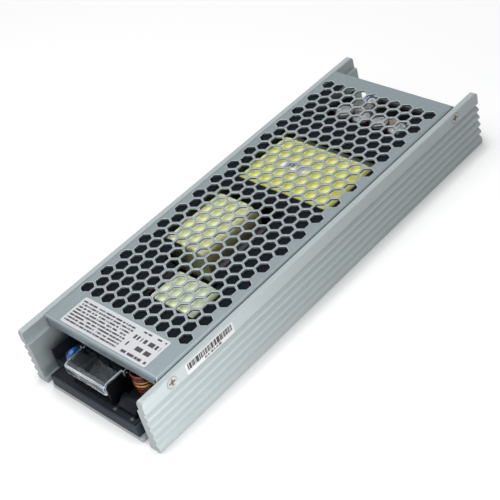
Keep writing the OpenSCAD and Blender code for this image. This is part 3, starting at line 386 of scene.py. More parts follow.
def satin_extrusion(metal):
    """Drawn aluminium: long fine lines along the channel and a soft cloudy sheen."""
    finish = Finish("satin_extrusion", metal.case, metallic=0.2, roughness=0.42)
    finish.worn_edges(0.25 * MM)
    lines = finish.noise(metal.scratch, stretch=(1, 0.012, 1), detail=4, rough=0.6)
    cloud = finish.noise(18 * MM, stretch=(1, 0.35, 1), detail=2)
    streak = finish.shades(lines, metal.case, 0.93, 1.05)
    finish.tint(finish.mix(finish.ramp(cloud, 0.35, 0.65, 0.0, 0.35), streak, shade(metal.case, 0.9)))
    finish.gloss(lines, 0.36, 0.48)
    return finish.bump(lines, 0.012 * MM, 0.5).material


def plated_sheet(metal):
    """Zinc-plated steel: a faint crystal mottling over a cool grey, and cut edges painted brighter, partly
    bare steel and partly a painted highlight where they catch the light.
    """
    finish = Finish("plated_sheet", metal.cover, metallic=0.5, roughness=0.4)
    finish.worn_edges(0.2 * MM)
    cloud = finish.noise(25 * MM, detail=3)
    mottle = finish.shades(finish.cells(2.6 * MM), metal.cover, 1.03, 0.97, 0.1, 0.7)
    mottle = finish.mix(finish.ramp(cloud, 0.35, 0.65, 0.0, 0.4), mottle, shade(metal.cover, 0.92))
    # Painted highlight: the edges of the holes are tinted pale, partly the bare steel of the cut and partly
    # the light they catch.
    finish.tint(finish.mix(finish.edge_mask(0.45 * MM), mottle, metal.cut_edge_highlight))
    finish.gloss(finish.noise(1.1 * MM, detail=4), 0.34, 0.46)
    return finish.bump(finish.noise(0.25 * MM, detail=2), 0.006 * MM, 0.4).material


def bright_screw(metal):
    """Nickel-plated steel with a fine uneven grain."""
    finish = Finish("bright_screw", metal.screw, metallic=0.95, roughness=0.28)
    finish.worn_edges(0.12 * MM)
    grain = finish.noise(0.5 * MM, detail=4)
    finish.tint(finish.shades(grain, metal.screw, 1.0, 0.72, 0.35, 0.75))
    return finish.gloss(grain, 0.2, 0.4).material


def dull_screw(metal):
    """Dull plated steel, darker along its edges."""
    finish = Finish("dull_screw", metal.head, metallic=0.3, roughness=0.42)
    grain = finish.noise(0.5 * MM, detail=4)
    plating = finish.shades(grain, metal.head, 1.0, 0.72, 0.35, 0.75)
    # The head is darker along its edges, by an edge mask.
    finish.tint(finish.mix(finish.edge_mask(0.25 * MM), plating, shade(metal.head, 0.3)))
    return finish.gloss(grain, 0.34, 0.5).material


def tinned_contact(metal):
    """Tinned metal with a cloudy surface."""
    finish = Finish("tinned_contact", metal.contact, metallic=0.95, roughness=0.3)
    cloud = finish.noise(2 * MM, detail=4)
    finish.tint(finish.shades(cloud, metal.contact, 1.0, 0.75, 0.35, 0.65))
    return finish.gloss(cloud, 0.22, 0.42).material


def enamelled_copper(metal):
    """Copper under brown enamel: a few turns painted golden as a painted highlight among the dark ones, and a
    sharp gloss.
    """
    finish = Finish("enamelled_copper", metal.copper, metallic=0.6, roughness=0.3, coat_weight=0.15,
                    coat_roughness=0.1)
    patch = finish.noise(2.2 * MM, detail=3)
    # Painted highlight: bands along the height pick the turns that are painted golden.
    turn = finish.noise(2.6 * MM, stretch=(0.05, 0.05, 1), detail=1)
    dark = finish.shades(patch, metal.copper, 1.2, 0.45, 0.35, 0.7)
    finish.tint(finish.mix(finish.ramp(turn, 0.6, 0.625), dark, metal.turn_highlight))
    return finish.gloss(patch, 0.16, 0.32).material


def can_metal(metal):
    """Bare aluminium top of a capacitor, a little scuffed."""
    finish = Finish("can_metal", metal.can, metallic=0.9, roughness=0.32)
    scuff = finish.noise(0.8 * MM, stretch=(1, 0.3, 1), detail=4)
    finish.tint(finish.shades(scuff, metal.can, 1.0, 0.75, 0.35, 0.7))
    return finish.gloss(scuff, 0.24, 0.44).material


def sintered_ferrite(metal):
    """Sintered ferrite: dark grey, gritty."""
    finish = Finish("ferrite", metal.ferrite, roughness=0.6)
    grit = finish.noise(0.35 * MM, detail=5)
    finish.tint(finish.shades(grit, metal.ferrite, 0.7, 1.7, 0.35, 0.7))
    return finish.bump(grit, 0.03 * MM, 0.6).material


def insulating_sheet(name, colour, roughness):
    """Polycarbonate sheet: a fine matt grain with slow waves."""
    finish = Finish(name, colour, roughness=roughness, specular_ior_level=0.045)
    wave = finish.noise(14 * MM, detail=2)
    grain = finish.noise(0.3 * MM, detail=3)
    finish.tint(finish.shades(wave, colour, 0.85, 1.15))
    finish.gloss(grain, roughness - 0.05, roughness + 0.08)
    finish.bump(wave, 0.4 * MM, 0.25)
    return finish.bump(grain, 0.008 * MM, 0.4).material


def lacquered_board(plastic, shade_edge_y):
    """Green solder mask over copper tracks, which show as paler runs, and painted shade in the front bay,
    where the board takes the bay sheet's dark colour.
    """
    finish = Finish("lacquered_board", plastic.board, roughness=0.32, specular_ior_level=0.25)
    tracks = finish.node("TexBrick", vector=finish.coordinates, scale=1.0, brick_width=7 * MM,
                         row_height=3.2 * MM, mortar_size=0.5 * MM, color1=shade(plastic.board, 0.7),
                         color2=plastic.board, mortar=shade(plastic.board, 1.7))
    # Painted shade: in front of this line the board is painted the bay sheet's dark colour, where the cover
    # and block shade it.
    bay_shade_mask = finish.math("LESS_THAN", finish.axis("Y"), shade_edge_y)
    finish.tint(finish.mix(bay_shade_mask, tracks.outputs["Color"], plastic.bay))
    finish.bump(tracks.outputs["Fac"], 0.03 * MM, 0.5)
    return finish.gloss(finish.noise(3 * MM), 0.26, 0.4).material


def moulding(name, colour, roughness, specular=0.45):
    """Moulded plastic: an eroded grain and slightly uneven gloss."""
    finish = Finish(name, colour, roughness=roughness, specular_ior_level=specular)
    finish.worn_edges(0.15 * MM)
    grain = finish.noise(0.22 * MM, detail=3)
    flow = finish.noise(6 * MM, detail=3)
    finish.tint(finish.shades(flow, colour, 0.8, 1.25))
    finish.gloss(flow, roughness - 0.08, roughness + 0.08)
    return finish.bump(grain, 0.012 * MM, 0.5).material


def clear_moulding(plastic):
    """Clear polycarbonate, its gloss a little uneven along the flow."""
    finish = Finish("clear_moulding", plastic.clear, roughness=0.04, transmission_weight=1.0, ior=1.24,
                    specular_tint=plastic.sheen)
    flow = finish.noise(5 * MM, stretch=(0.3, 1, 1), detail=3)
    return finish.gloss(flow, 0.03, 0.09).material


def polished_edge(plastic):
    """The clear cover's edges, given a pale half-diffuse colour as a painted highlight where light that runs
    through the sheet comes out.
    """
    finish = Finish("polished_edge", plastic.clear, roughness=0.15, transmission_weight=0.5, ior=1.4)
    glint = finish.noise(1.2 * MM, stretch=(0.2, 1, 1), detail=2)
    finish.tint(finish.shades(glint, plastic.clear, 0.8, 1.0, 0.35, 0.65))
    return finish.gloss(glint, 0.1, 0.22).material


def frosted_slope(plastic):
    """The clear cover's front, a little milky from its tool's grain."""
    finish = Finish("frosted_slope", plastic.clear, roughness=0.06, transmission_weight=0.93, ior=1.3)
    grain = finish.noise(0.3 * MM, detail=3)
    finish.gloss(grain, 0.03, 0.1)
    return finish.bump(grain, 0.008 * MM, 0.2).material


def dipped_resin(plastic):
    """Glossy dipped epoxy with slow runs."""
    finish = Finish("dipped_resin", plastic.blue, roughness=0.22, coat_weight=0.2, coat_roughness=0.06)
    run = finish.noise(2.5 * MM, stretch=(1, 1, 0.5), detail=3)
    finish.tint(finish.shades(run, plastic.blue, 0.75, 1.2))
    return finish.bump(run, 0.12 * MM, 0.5).material


def ceramic_tube(plastic):
    """Glazed ceramic of the fuse, with faint specks."""
    finish = Finish("ceramic_tube", plastic.ceramic, roughness=0.25, coat_weight=0.4)
    speck = finish.noise(0.8 * MM, detail=4)
    finish.tint(finish.shades(speck, plastic.ceramic, 1.0, 0.8, 0.45, 0.75))
    return finish.gloss(speck, 0.18, 0.34).material


def shrink_sleeve(plastic):
    """Dark shrink sleeve with upright streaks."""
    finish = Finish("shrink_sleeve", plastic.sleeve, roughness=0.3, coat_weight=0.3)
    streak = finish.noise(1.5 * MM, stretch=(1, 1, 0.1), detail=3)
    finish.tint(finish.shades(streak, plastic.sleeve, 0.7, 1.4))
    return finish.gloss(streak, 0.24, 0.4).material


def cured_silicone(plastic):
    """Grey-white silicone: waxy and slightly see-through."""
    finish = Finish("cured_silicone", plastic.silicone, roughness=0.42, subsurface_weight=0.2,
                    subsurface_scale=1 * MM)
    lump = finish.noise(1.6 * MM, detail=3)
    finish.tint(finish.shades(lump, plastic.silicone, 0.8, 1.1))
    return finish.bump(lump, 0.3 * MM, 0.5).material


def lamp_lens(plastic):
    """Green tinted lens of the indicator lamp."""
    finish = Finish("lamp_lens", plastic.lens, roughness=0.12, transmission_weight=0.5, ior=1.5)
    return finish.bump(finish.noise(1 * MM), 0.02 * MM, 0.2).material


def polyester_tape(name, colour, wound, highlight_share, top_z):
    """Thin glossy tape: pale patches of painted highlight, soft creases, and painted shade in olive where it
    turns down the side.
    """
    finish = Finish(name, colour, roughness=0.34, specular_ior_level=0.5, coat_weight=0.15)
    crease = finish.noise(5 * MM, stretch=(1.0, 0.5, 1), detail=4, distortion=0.8)
    wrap = finish.noise(2.4 * MM, stretch=(0.02, 1, 0.02), detail=2)
    # Painted highlight: pale patches where the tape would shine brightest.
    patch = finish.noise(6 * MM, detail=2, distortion=0.5)
    body = finish.shades(crease, colour, 0.92, 1.05)
    body = finish.mix(finish.ramp(wrap, 0.52, 0.6, 0.0, 0.15), body, shade(colour, 0.75))
    body = finish.mix(finish.ramp(patch, 0.45, 0.65, 0.0, highlight_share), body, wound.pale)
    # Painted shade: olive and darker just below the top edge, where the tape turns down the side, less on
    # faces towards the front.
    side_starts, side_full = 1.0 * MM, 2.5 * MM
    side_drop_shade = finish.ramp(finish.axis("Z"), top_z - side_full, top_z - side_starts, 0.85, 0.0)
    facing = finish.node("SeparateXYZ", vector=finish.normals)
    front = finish.ramp(facing.outputs["Y"], -0.9, -0.5, 0.45, 1.0)
    finish.tint(finish.mix(finish.math("MULTIPLY", side_drop_shade, front), body, wound.side_shade))
    finish.gloss(crease, 0.26, 0.42)
    finish.bump(wrap, 0.12 * MM, 0.35)
    return finish.bump(crease, 0.25 * MM, 0.4).material


# Printed sheets

def band(finish, axis, low, high):
    """Mask that is one where a coordinate lies between two values."""
    above = finish.math("GREATER_THAN", finish.axis(axis), low)
    return finish.math("MULTIPLY", above, finish.math("LESS_THAN", finish.axis(axis), high))


def printed_field(finish, along, across, grain, gap, pitch=ONE_ROW, fill=1.0):
    """Mask of plain bars in a field: rows of one pitch across it, broken into lengths along it.

    along and across each hold an axis and the values at which the field starts and ends.
    """
    place = finish.math("DIVIDE", finish.axis(across[0]), pitch)
    row = finish.math("MULTIPLY", finish.math("FLOOR", place), ROW_SHIFT)
    words = finish.node("CombineXYZ", x=finish.math("DIVIDE", finish.axis(along[0]), grain), y=row)
    noise = finish.node("TexNoise", vector=words.outputs[0], scale=1.0, detail=0.0)
    mask = finish.math("GREATER_THAN", noise.outputs["Fac"], gap)
    inside = finish.math("LESS_THAN", finish.math("FRACT", place), fill)
    for part in (inside, band(finish, *along), band(finish, *across)):
        mask = finish.math("MULTIPLY", mask, part)
    return mask


def printed_label(low, high, rows, block_rows):
    """Pale label with rows of plain bars and a field of plain blocks, and no lettering."""
    paper, ink = (0.64, 0.65, 0.68), (0.025, 0.025, 0.03)
    finish = Finish("printed_label", paper, roughness=0.35, coat_weight=0.2)
    margin, lines_share = 1.2 * MM, 0.64
    split = low.x + lines_share * (high.x - low.x)
    across = ("Y", low.y + margin, high.y - margin)
    height = high.y - low.y - 2 * margin
    lines = printed_field(finish, ("X", low.x + margin, split), across, grain=0.8 * MM, gap=0.41,
                          pitch=height / rows, fill=0.52)
    blocks = printed_field(finish, ("X", split + 2 * margin, high.x - margin), across, grain=1.7 * MM,
                           gap=0.46, pitch=height / block_rows, fill=0.5)
    finish.tint(finish.mix(finish.math("MAXIMUM", lines, blocks), paper, ink))
    return finish.gloss(finish.noise(2 * MM), 0.3, 0.42).material


def barred_sticker(low, high):
    """White sticker with plain upright bars over a row of plain marks."""
    paper, ink = (0.62, 0.63, 0.63), (0.02, 0.02, 0.02)
    finish = Finish("barred_sticker", paper, roughness=0.4)
    margin, foot_share, marks_start, marks_end = 0.5 * MM, 0.35, 0.36, 0.72
    length = high.y - low.y
    foot = low.z + foot_share * (high.z - low.z)
    code = printed_field(finish, ("Y", low.y + 2 * margin, high.y - 2 * margin),
                         ("Z", foot, high.z - margin), grain=0.5 * MM, gap=0.44)
    marks = printed_field(finish, ("Y", low.y + marks_start * length, low.y + marks_end * length),
                          ("Z", low.z + margin, foot - margin), grain=0.6 * MM, gap=0.48)
    finish.tint(finish.mix(finish.math("MAXIMUM", code, marks), paper, ink))
    return finish.gloss(finish.noise(2 * MM), 0.34, 0.48).material


def paper_tag(low, high):
    """White paper tag with a faint grain and a row of plain marks."""
    paper, ink = (0.93, 0.93, 0.93), (0.05, 0.05, 0.06)
    finish = Finish("paper_tag", paper, roughness=0.6)
    fibre = finish.noise(0.4 * MM, stretch=(1, 0.4, 1), detail=4)
    margin = (high.y - low.y) / 4
    marks = printed_field(finish, ("X", low.x + margin, high.x - margin),
                          ("Y", low.y + margin, high.y - margin), grain=0.9 * MM, gap=0.5)
    finish.tint(finish.mix(marks, finish.shades(fibre, paper, 0.92, 1.0), ink))
    return finish.bump(fibre, 0.02 * MM, 0.4).material


# Modelling steps

def paint(material, *nodes):
    """Give CAD nodes one finish."""
    for node in nodes:
        slots = NODES[node].data.materials
        slots.clear()
        slots.append(material)


def deselect():
    """Leave edit mode and select nothing."""
    if bpy.context.object and bpy.context.object.mode != "OBJECT":
        bpy.ops.object.mode_set(mode="OBJECT")
    bpy.ops.object.select_all(action="DESELECT")


def take_up(piece):
    """Make one piece the only one selected, and the active one."""
    deselect()
    piece.select_set(True)
    bpy.context.view_layer.objects.active = piece


def place_applied(piece):
    """Put a piece's place, turn and size into its mesh."""
    take_up(piece)
    bpy.ops.object.transform_apply(location=True, rotation=True, scale=True)


def settle(piece, name, body, slot, *materials):
    """Name a finished piece, give its faces their finishes and let it ride on a body."""
    mesh = piece.data
    piece.name = name
    mesh.name = name
    indices = [face.material_index for face in mesh.polygons]
    mesh.materials.clear()
    for material in materials:
        mesh.materials.append(material)
    mesh.polygons.foreach_set("material_index", indices)
    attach(piece, body)


def settle_for(node, piece, name, slot, *materials):
    """Settle a piece on the body of a CAD node, in place of that node."""
    settle(piece, name, NODES[node]["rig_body"], slot, *materials)
    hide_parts(node)


def modified(piece, kind, **values):
    """Give the active piece a modifier with these values, and apply it."""
    modifier = piece.modifiers.new(kind.lower(), kind)
    for name, value in values.items():
        setattr(modifier, name, value)
    bpy.ops.object.modifier_apply(modifier=modifier.name)


def choose(piece, kind, test):
    """In edit mode, leave only those edges or faces selected that pass a test."""
    bpy.ops.object.mode_set(mode="OBJECT")
    mesh = piece.data
    items = {"EDGE": mesh.edges, "FACE": mesh.polygons}[kind]
    picked = [test(item) for item in items]
    for group in (mesh.vertices, mesh.edges, mesh.polygons):
        group.foreach_set("select", [False] * len(group))
    items.foreach_set("select", picked)
    bpy.ops.object.mode_set(mode="EDIT")
    bpy.ops.mesh.select_mode(type=kind)


def span(piece, edge):
    """The vector from one end of an edge to the other."""
    first, second = (piece.data.vertices[index].co for index in edge.vertices)
    return second - first


def copied(node):
    """A new piece with a CAD node's mesh, its loose triangles merged into whole faces."""
    piece = bpy.data.objects.new(node + "_copy", NODES[node].data.copy())
    bpy.context.scene.collection.objects.link(piece)
    take_up(piece)
    bpy.ops.mesh.customdata_custom_splitnormals_clear()
    bpy.ops.object.mode_set(mode="EDIT")
    bpy.ops.mesh.select_all(action="SELECT")
    bpy.ops.mesh.remove_doubles(threshold=MERGE)
    bpy.ops.mesh.dissolve_limited(angle_limit=FLAT_ANGLE)
    bpy.ops.object.mode_set(mode="OBJECT")
    return piece


def solid_boxes(node):
    """The box of each solid in a CAD node, as pairs of corners."""
    copied(node)
    bpy.ops.object.mode_set(mode="EDIT")
    bpy.ops.mesh.select_all(action="SELECT")
    bpy.ops.mesh.separate(type="LOOSE")
    bpy.ops.object.mode_set(mode="OBJECT")
    boxes = []
    for piece in list(bpy.context.selected_objects):
        boxes.append(tuple(Vector(piece.bound_box[corner]) for corner in (LOW_CORNER, HIGH_CORNER)))
        bpy.data.objects.remove(piece)
    return sorted(boxes, key=lambda box: tuple(box[0]))


def soften(piece, width, material=-1):
    """Round a piece's long sharp edges to that width."""
    take_up(piece)
    bpy.ops.object.mode_set(mode="EDIT")
    bpy.ops.mesh.select_mode(type="EDGE")
    bpy.ops.mesh.select_all(action="DESELECT")
    bpy.ops.mesh.edges_select_sharp(sharpness=SHARP_ANGLE)
    choose(piece, "EDGE", lambda edge: edge.select and span(piece, edge).length > LONG_EDGE * width)
    bpy.ops.mesh.bevel(offset=width, segments=2, affect="EDGES", material=material)
    bpy.ops.object.mode_set(mode="OBJECT")
    bpy.ops.object.shade_smooth_by_angle(angle=SMOOTH_ANGLE)
    return piece


def thin_sheet(low, high, corner):
    """A flat sheet with round corners, filling a box; its thinnest side is its thickness."""
    deselect()
    size = high - low
    thin = min(range(3), key=lambda axis: size[axis])
    bpy.ops.mesh.primitive_cube_add(size=1, location=(low + high) / 2)
    piece = bpy.context.object
    piece.scale = size
    place_applied(piece)
    choose(piece, "EDGE", lambda edge: abs(span(piece, edge)[thin]) > size[thin] / 2)
    bpy.ops.mesh.bevel(offset=corner, segments=5, affect="EDGES")
    bpy.ops.object.mode_set(mode="OBJECT")
    return piece


def cloud_texture(name, size):
    """Slow noise for a Displace modifier."""
    texture = bpy.data.textures.new(name, "CLOUDS")
    texture.noise_scale = size
    texture.noise_depth = 2
    return texture


# Steps that finish the power supply, one operator for each group of pieces

class POWERSUPPLY_OT_metalwork(Operator):
    """Finish the channel, the cover, the heat sinks, the screws, the posts and the leads"""

    bl_idname = "power_supply.metalwork"
    bl_label = "Metalwork"

    def execute(self, context):
        metal = context.scene.supply_metal
        paint(satin_extrusion(metal), "chassis", "boost_heat_sink", "rectifier_heat_sink")
        paint(plated_sheet(metal), "top_cover")
        paint(dull_screw(metal), "cover_screws")
        paint(bright_screw(metal), "board_screws")
        paint(tinned_contact(metal), "board_posts", "disc_capacitor_leads")
        return {"FINISHED"}


class POWERSUPPLY_OT_insulation(Operator):
    """Finish the film, the tray and the sheet in the front bay"""

    bl_idname = "power_supply.insulation"
    bl_label = "Insulation"

    def execute(self, context):
        plastic = context.scene.supply_plastic
        paint(insulating_sheet("film_sheet", plastic.film, 0.3), "insulating_film")
        paint(insulating_sheet("tray_sheet", plastic.tray, 0.42), "insulating_tray")
        paint(insulating_sheet("bay_sheet", plastic.bay, 0.4), "bay_insulator")
        paint(moulding("rivet_plastic", plastic.rivet, 0.4), "insulator_rivets")
        return {"FINISHED"}


class POWERSUPPLY_OT_terminals(Operator):
    """Round the terminal blocks' edges, and finish them with their plates, clamps and screws"""

    bl_idname = "power_supply.terminals"
    bl_label = "Terminals"

    def execute(self, context):
        metal = context.scene.supply_metal
        plastic = context.scene.supply_plastic
        contact = tinned_contact(metal)
        blocks = {"input": (moulding("input_block", plastic.black, 0.4, 0.06), contact),
                  "output": (moulding("output_block", plastic.slate, 0.3, 0.5), bright_screw(metal))}
        for end, (finish, screw) in blocks.items():
            block = f"{end}_terminal_block"
            piece = soften(copied(block), context.scene.supply_shape.edge)
            settle_for(block, piece, f"{end}_block_moulding", "black_plastic", finish)
            paint(contact, f"{end}_terminal_plates")
            paint(screw, f"{end}_terminal_clamps", f"{end}_terminal_screws")
        return {"FINISHED"}


class POWERSUPPLY_OT_flip_cover(Operator):
    """Model the clear flip cover, with edges painted bright where they catch the light"""

    bl_idname = "power_supply.flip_cover"
    bl_label = "Flip cover"

    def execute(self, context):
        plastic = context.scene.supply_plastic
        piece = copied("input_terminal_cover")
        # The cover's edges get a painted highlight.
        finishes = clear_moulding(plastic), polished_edge(plastic), frosted_slope(plastic)
        clear, edge, slope = range(len(finishes))
        for material in finishes:
            piece.data.materials.append(material)
        for face in piece.data.polygons:
            face.material_index = slope if face.normal.y < FRONT_FACING else clear
        soften(piece, context.scene.supply_shape.lid_edge, material=edge)
        settle_for("input_terminal_cover", piece, "flip_cover_moulding", "clear_plastic", *finishes)
        return {"FINISHED"}


class POWERSUPPLY_OT_board(Operator):
    """Finish the board and the small parts that stand on it"""

    bl_idname = "power_supply.board"
    bl_label = "Board"

    def execute(self, context):
        plastic = context.scene.supply_plastic
        shape = context.scene.supply_shape
        # Line in front of which the board carries painted shade.
        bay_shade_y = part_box("front_inductor")[0].y - shape.bay_shade_gap
        paint(lacquered_board(plastic, bay_shade_y), "circuit_board")
        paint(moulding("package_moulding", plastic.black, 0.5, 0.2), "bridge_rectifier", "boost_transistors",
              "rectifier_transistors", "front_inductor_base", "boost_choke_base", "main_transformer_base")
        boxed = moulding("boxed_film_case", plastic.boxed, 0.42, 0.12)
        paint(boxed, "resonant_capacitors")
        paint(moulding("wound_film_case", plastic.brown, 0.35), "output_filter_capacitors")
        box = soften(copied("filter_capacitor"), shape.edge)
        settle_for("filter_capacitor", box, "filter_capacitor_case", "grey_plastic", boxed)
        paint(ceramic_tube(plastic), "input_fuse")
        paint(dipped_resin(plastic), "disc_capacitor")
        paint(moulding("trimmer_case", plastic.trimmer, 0.35), "trimmer_body")
        white = moulding("white_moulding", plastic.white, 0.35)
        paint(white, "trimmer_rotor")
        plug = soften(copied("signal_connector"), shape.edge / 2)
        settle_for("signal_connector", plug, "signal_connector_moulding", "white_plastic", white)
        paint(lamp_lens(plastic), "indicator_lamp")
        return {"FINISHED"}


class POWERSUPPLY_OT_taped_parts(Operator):
    """Model the tape on the three large wound parts: soft corners, wraps that overlap, and creases"""

    bl_idname = "power_supply.taped_parts"
    bl_label = "Taped parts"

    # Node, colour setting, strength of the pale patches of painted highlight, and the shares of its length
    # under an upper wrap
    parts = (("front_inductor", "front", 0.6, (0.0, 0.62)), ("boost_choke", "middle", 0.4, (0.0, 0.58)),
             ("main_transformer", "rear", 0.1, (0.12, 0.88)))

    def execute(self, context):
        wound = context.scene.supply_wound
        for node, colour, highlight_share, wrap in self.parts:
            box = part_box(node)
            piece = self.wrapped(node, box, wrap, context.scene.supply_shape)
            tape = polyester_tape(node + "_tape", getattr(wound, colour), wound, highlight_share, box[1].z)
            settle_for(node, piece, node + "_wraps", "yellow_tape", tape)
        return {"FINISHED"}

    def wrapped(self, node, box, wrap, shape):
        """A wound part with an upper wrap of tape, creased all over."""
        piece = copied(node)
        modified(piece, "REMESH", mode="VOXEL", voxel_size=shape.tape_grain)
        modified(piece, "SMOOTH", factor=0.5, iterations=6)
        low, high = box
        first, last = (low.y + share * (high.y - low.y) for share in wrap)
        choose(piece, "FACE", lambda face: first < face.center.y < last)
        bpy.ops.mesh.extrude_region()
        bpy.ops.transform.shrink_fatten(value=shape.tape_step)
        bpy.ops.object.mode_set(mode="OBJECT")
        modified(piece, "DISPLACE", texture=cloud_texture(node + "_creases", shape.tape_wave),
                 strength=shape.tape_crease, mid_level=shape.tape_level)
        bpy.ops.object.shade_smooth_by_angle(angle=WOUND_SMOOTH_ANGLE)
        return piece


class POWERSUPPLY_OT_chokes(Operator):
    """Wind the input choke with round wire and finish the other chokes"""

    bl_idname = "power_supply.chokes"
    bl_label = "Chokes"

    def execute(self, context):
        metal = context.scene.supply_metal
        paint(sintered_ferrite(metal), "input_choke_core", "line_choke_core", "output_choke_cores")
        copper = enamelled_copper(metal)
        paint(copper, "line_choke_windings", "output_choke_windings")
        coil = self.coil(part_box("input_choke_winding"), context.scene.supply_shape.wire_d)
        settle_for("input_choke_winding", coil, "input_choke_coil", "copper_wire", copper)
        return {"FINISHED"}

    def coil(self, box, wire_d):
        """One layer of round wire, wound upwards in a box."""
        low, high = box
        turns = round((high.z - low.z) / wire_d) - 1
        radius = (high.x - low.x - wire_d) / 2
        deselect()
        bpy.ops.mesh.primitive_circle_add(vertices=WIRE_SIDES, radius=wire_d / 2, location=(radius, 0, 0),
                                          rotation=(math.radians(90), 0, 0), fill_type="NOTHING")
        piece = bpy.context.object
        place_applied(piece)
        steps = turns * TURN_STEPS
        modified(piece, "SCREW", axis="Z", angle=turns * math.tau, screw_offset=turns * wire_d,
                 steps=steps, render_steps=steps, use_merge_vertices=False)
        bpy.ops.object.mode_set(mode="EDIT")
        bpy.ops.mesh.select_mode(type="EDGE")
        bpy.ops.mesh.select_all(action="DESELECT")
        bpy.ops.mesh.select_non_manifold()
        bpy.ops.mesh.fill_holes(sides=0)
        bpy.ops.mesh.select_all(action="SELECT")
        bpy.ops.mesh.normals_make_consistent(inside=False)
        bpy.ops.object.mode_set(mode="OBJECT")
        piece.location = ((low.x + high.x) / 2, (low.y + high.y) / 2, low.z + wire_d / 2)
        place_applied(piece)
        bpy.ops.object.shade_smooth_by_angle(angle=WOUND_SMOOTH_ANGLE)
        return piece


class POWERSUPPLY_OT_capacitors(Operator):
    """Finish the bulk capacitors, and model one output capacitor and copy it to each place"""

    bl_idname = "power_supply.capacitors"
    bl_label = "Capacitors"

    def execute(self, context):
        finishes = shrink_sleeve(context.scene.supply_plastic), can_metal(context.scene.supply_metal)
        paint(finishes[0], "bulk_capacitors")
        places = solid_boxes("output_capacitors")
        first = self.can(places[0], context.scene.supply_shape)
        for number, (low, high) in enumerate(places, start=1):
            piece = first.copy()
            piece.data = first.data.copy()
            context.scene.collection.objects.link(piece)
            piece.location = ((low.x + high.x) / 2, (low.y + high.y) / 2, low.z)
            place_applied(piece)
            settle_for("output_capacitors", piece, f"output_capacitor_{number}", "capacitor_sleeve",
                       *finishes)
        bpy.data.objects.remove(first)
        return {"FINISHED"}

    def can(self, box, shape):
        """One capacitor that stands at the origin: sleeve all round, and metal inside the rim on top."""
        size = box[1] - box[0]
        radius, height = size.x / 2, size.z
        deselect()
        bpy.ops.mesh.primitive_cylinder_add(vertices=CAN_SIDES, radius=radius, depth=height,
                                            location=(0, 0, height / 2))
        piece = bpy.context.object
        place_applied(piece)
        choose(piece, "EDGE", lambda edge: abs(span(piece, edge).z) < MERGE)
        bpy.ops.mesh.bevel(offset=shape.can_lip / 2, segments=3, affect="EDGES")
        choose(piece, "FACE", lambda face: face.normal.z > TOP_FACING)
        bpy.ops.mesh.inset(thickness=shape.can_lip / 2)
        bpy.ops.mesh.extrude_region_move(TRANSFORM_OT_translate={"value": (0, 0, -shape.can_sink)})
        bpy.ops.object.mode_set(mode="OBJECT")
        self.score(piece, shape.vent_reach * radius, height - shape.can_sink, shape.vent_w)
        sleeve, metal = range(2)
        piece.data.materials.append(None)
        piece.data.materials.append(None)
        rim = radius - shape.can_lip - MERGE
        for face in piece.data.polygons:
            inner = face.center.xy.length < rim and face.center.z > height / 2
            face.material_index = metal if inner else sleeve
        bpy.ops.object.shade_smooth_by_angle(angle=SMOOTH_ANGLE)
        return piece

    def score(self, piece, length, top, width):
        """Cut a cross into the top."""
        blades = []
        for turn in (0, 90):
            deselect()
            bpy.ops.mesh.primitive_cube_add(size=1, location=(0, 0, top), rotation=(0, 0, math.radians(turn)))
            blade = bpy.context.object
            blade.scale = (length, width, width)
            place_applied(blade)
            blades.append(blade)
        for blade in blades:
            take_up(piece)
            modified(piece, "BOOLEAN", operation="DIFFERENCE", object=blade, solver="EXACT")
            bpy.data.objects.remove(blade)


class POWERSUPPLY_OT_silicone(Operator):
    """Model the lumpy dabs of silicone between the rear parts"""

    bl_idname = "power_supply.silicone"
    bl_label = "Silicone"

    def execute(self, context):
        shape = context.scene.supply_shape
        piece = copied("silicone_dabs")
        modified(piece, "REMESH", mode="VOXEL", voxel_size=shape.dab_grain)
        modified(piece, "DISPLACE", texture=cloud_texture("silicone_lumps", shape.dab_wave),
                 strength=shape.dab_lump, mid_level=shape.dab_level)
        modified(piece, "SMOOTH", factor=0.5, iterations=3)
        bpy.ops.object.shade_smooth_by_angle(angle=SILICONE_SMOOTH_ANGLE)
        settle_for("silicone_dabs", piece, "silicone_lumps", "silicone",
                   cured_silicone(context.scene.supply_plastic))
        return {"FINISHED"}


class POWERSUPPLY_OT_labels(Operator):
    """Lay a plain label on the cover, a barred sticker on the wall and a small tag on the transformer"""

    bl_idname = "power_supply.labels"
    bl_label = "Labels"

    def execute(self, context):
        prints = context.scene.supply_print
        self.cover_label(prints)
        self.wall_sticker(prints)
        self.transformer_tag(prints)
        return {"FINISHED"}

    def cover_label(self, prints):
        low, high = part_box("top_cover")
        middle = Vector((0, low.y + prints.label_y, 0))
        half = Vector((prints.label_w / 2, prints.label_l / 2, 0))
        bottom = middle - half + Vector((0, 0, high.z))
        top = middle + half + Vector((0, 0, high.z + prints.thickness))
        sheet = thin_sheet(bottom, top, prints.label_corner)
        settle(sheet, "cover_label", "case", "white_plastic",
               printed_label(bottom, top, prints.rows, prints.block_rows))

    def wall_sticker(self, prints):
        low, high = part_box("chassis")
        front = low.y + prints.sticker_y
        foot = high.z - prints.sticker_drop - prints.sticker_h
        bottom = Vector((high.x, front, foot))
        top = Vector((high.x + prints.thickness, front + prints.sticker_l, foot + prints.sticker_h))
        sheet = thin_sheet(bottom, top, prints.sticker_corner)
        settle(sheet, "wall_sticker", "case", "white_plastic", barred_sticker(bottom, top))

    def transformer_tag(self, prints):
        low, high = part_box("main_transformer")
        middle = (low + high) / 2 + Vector(prints.tag_shift)
        half = Vector((prints.tag_w / 2, prints.tag_l / 2, 0))
        bottom = middle - half
        top = middle + half
        bottom.z = high.z + prints.tag_rise
        top.z = bottom.z + prints.thickness
        sheet = thin_sheet(bottom, top, prints.tag_corner)
        settle(sheet, "transformer_tag", "case", "white_plastic", paper_tag(bottom, top))


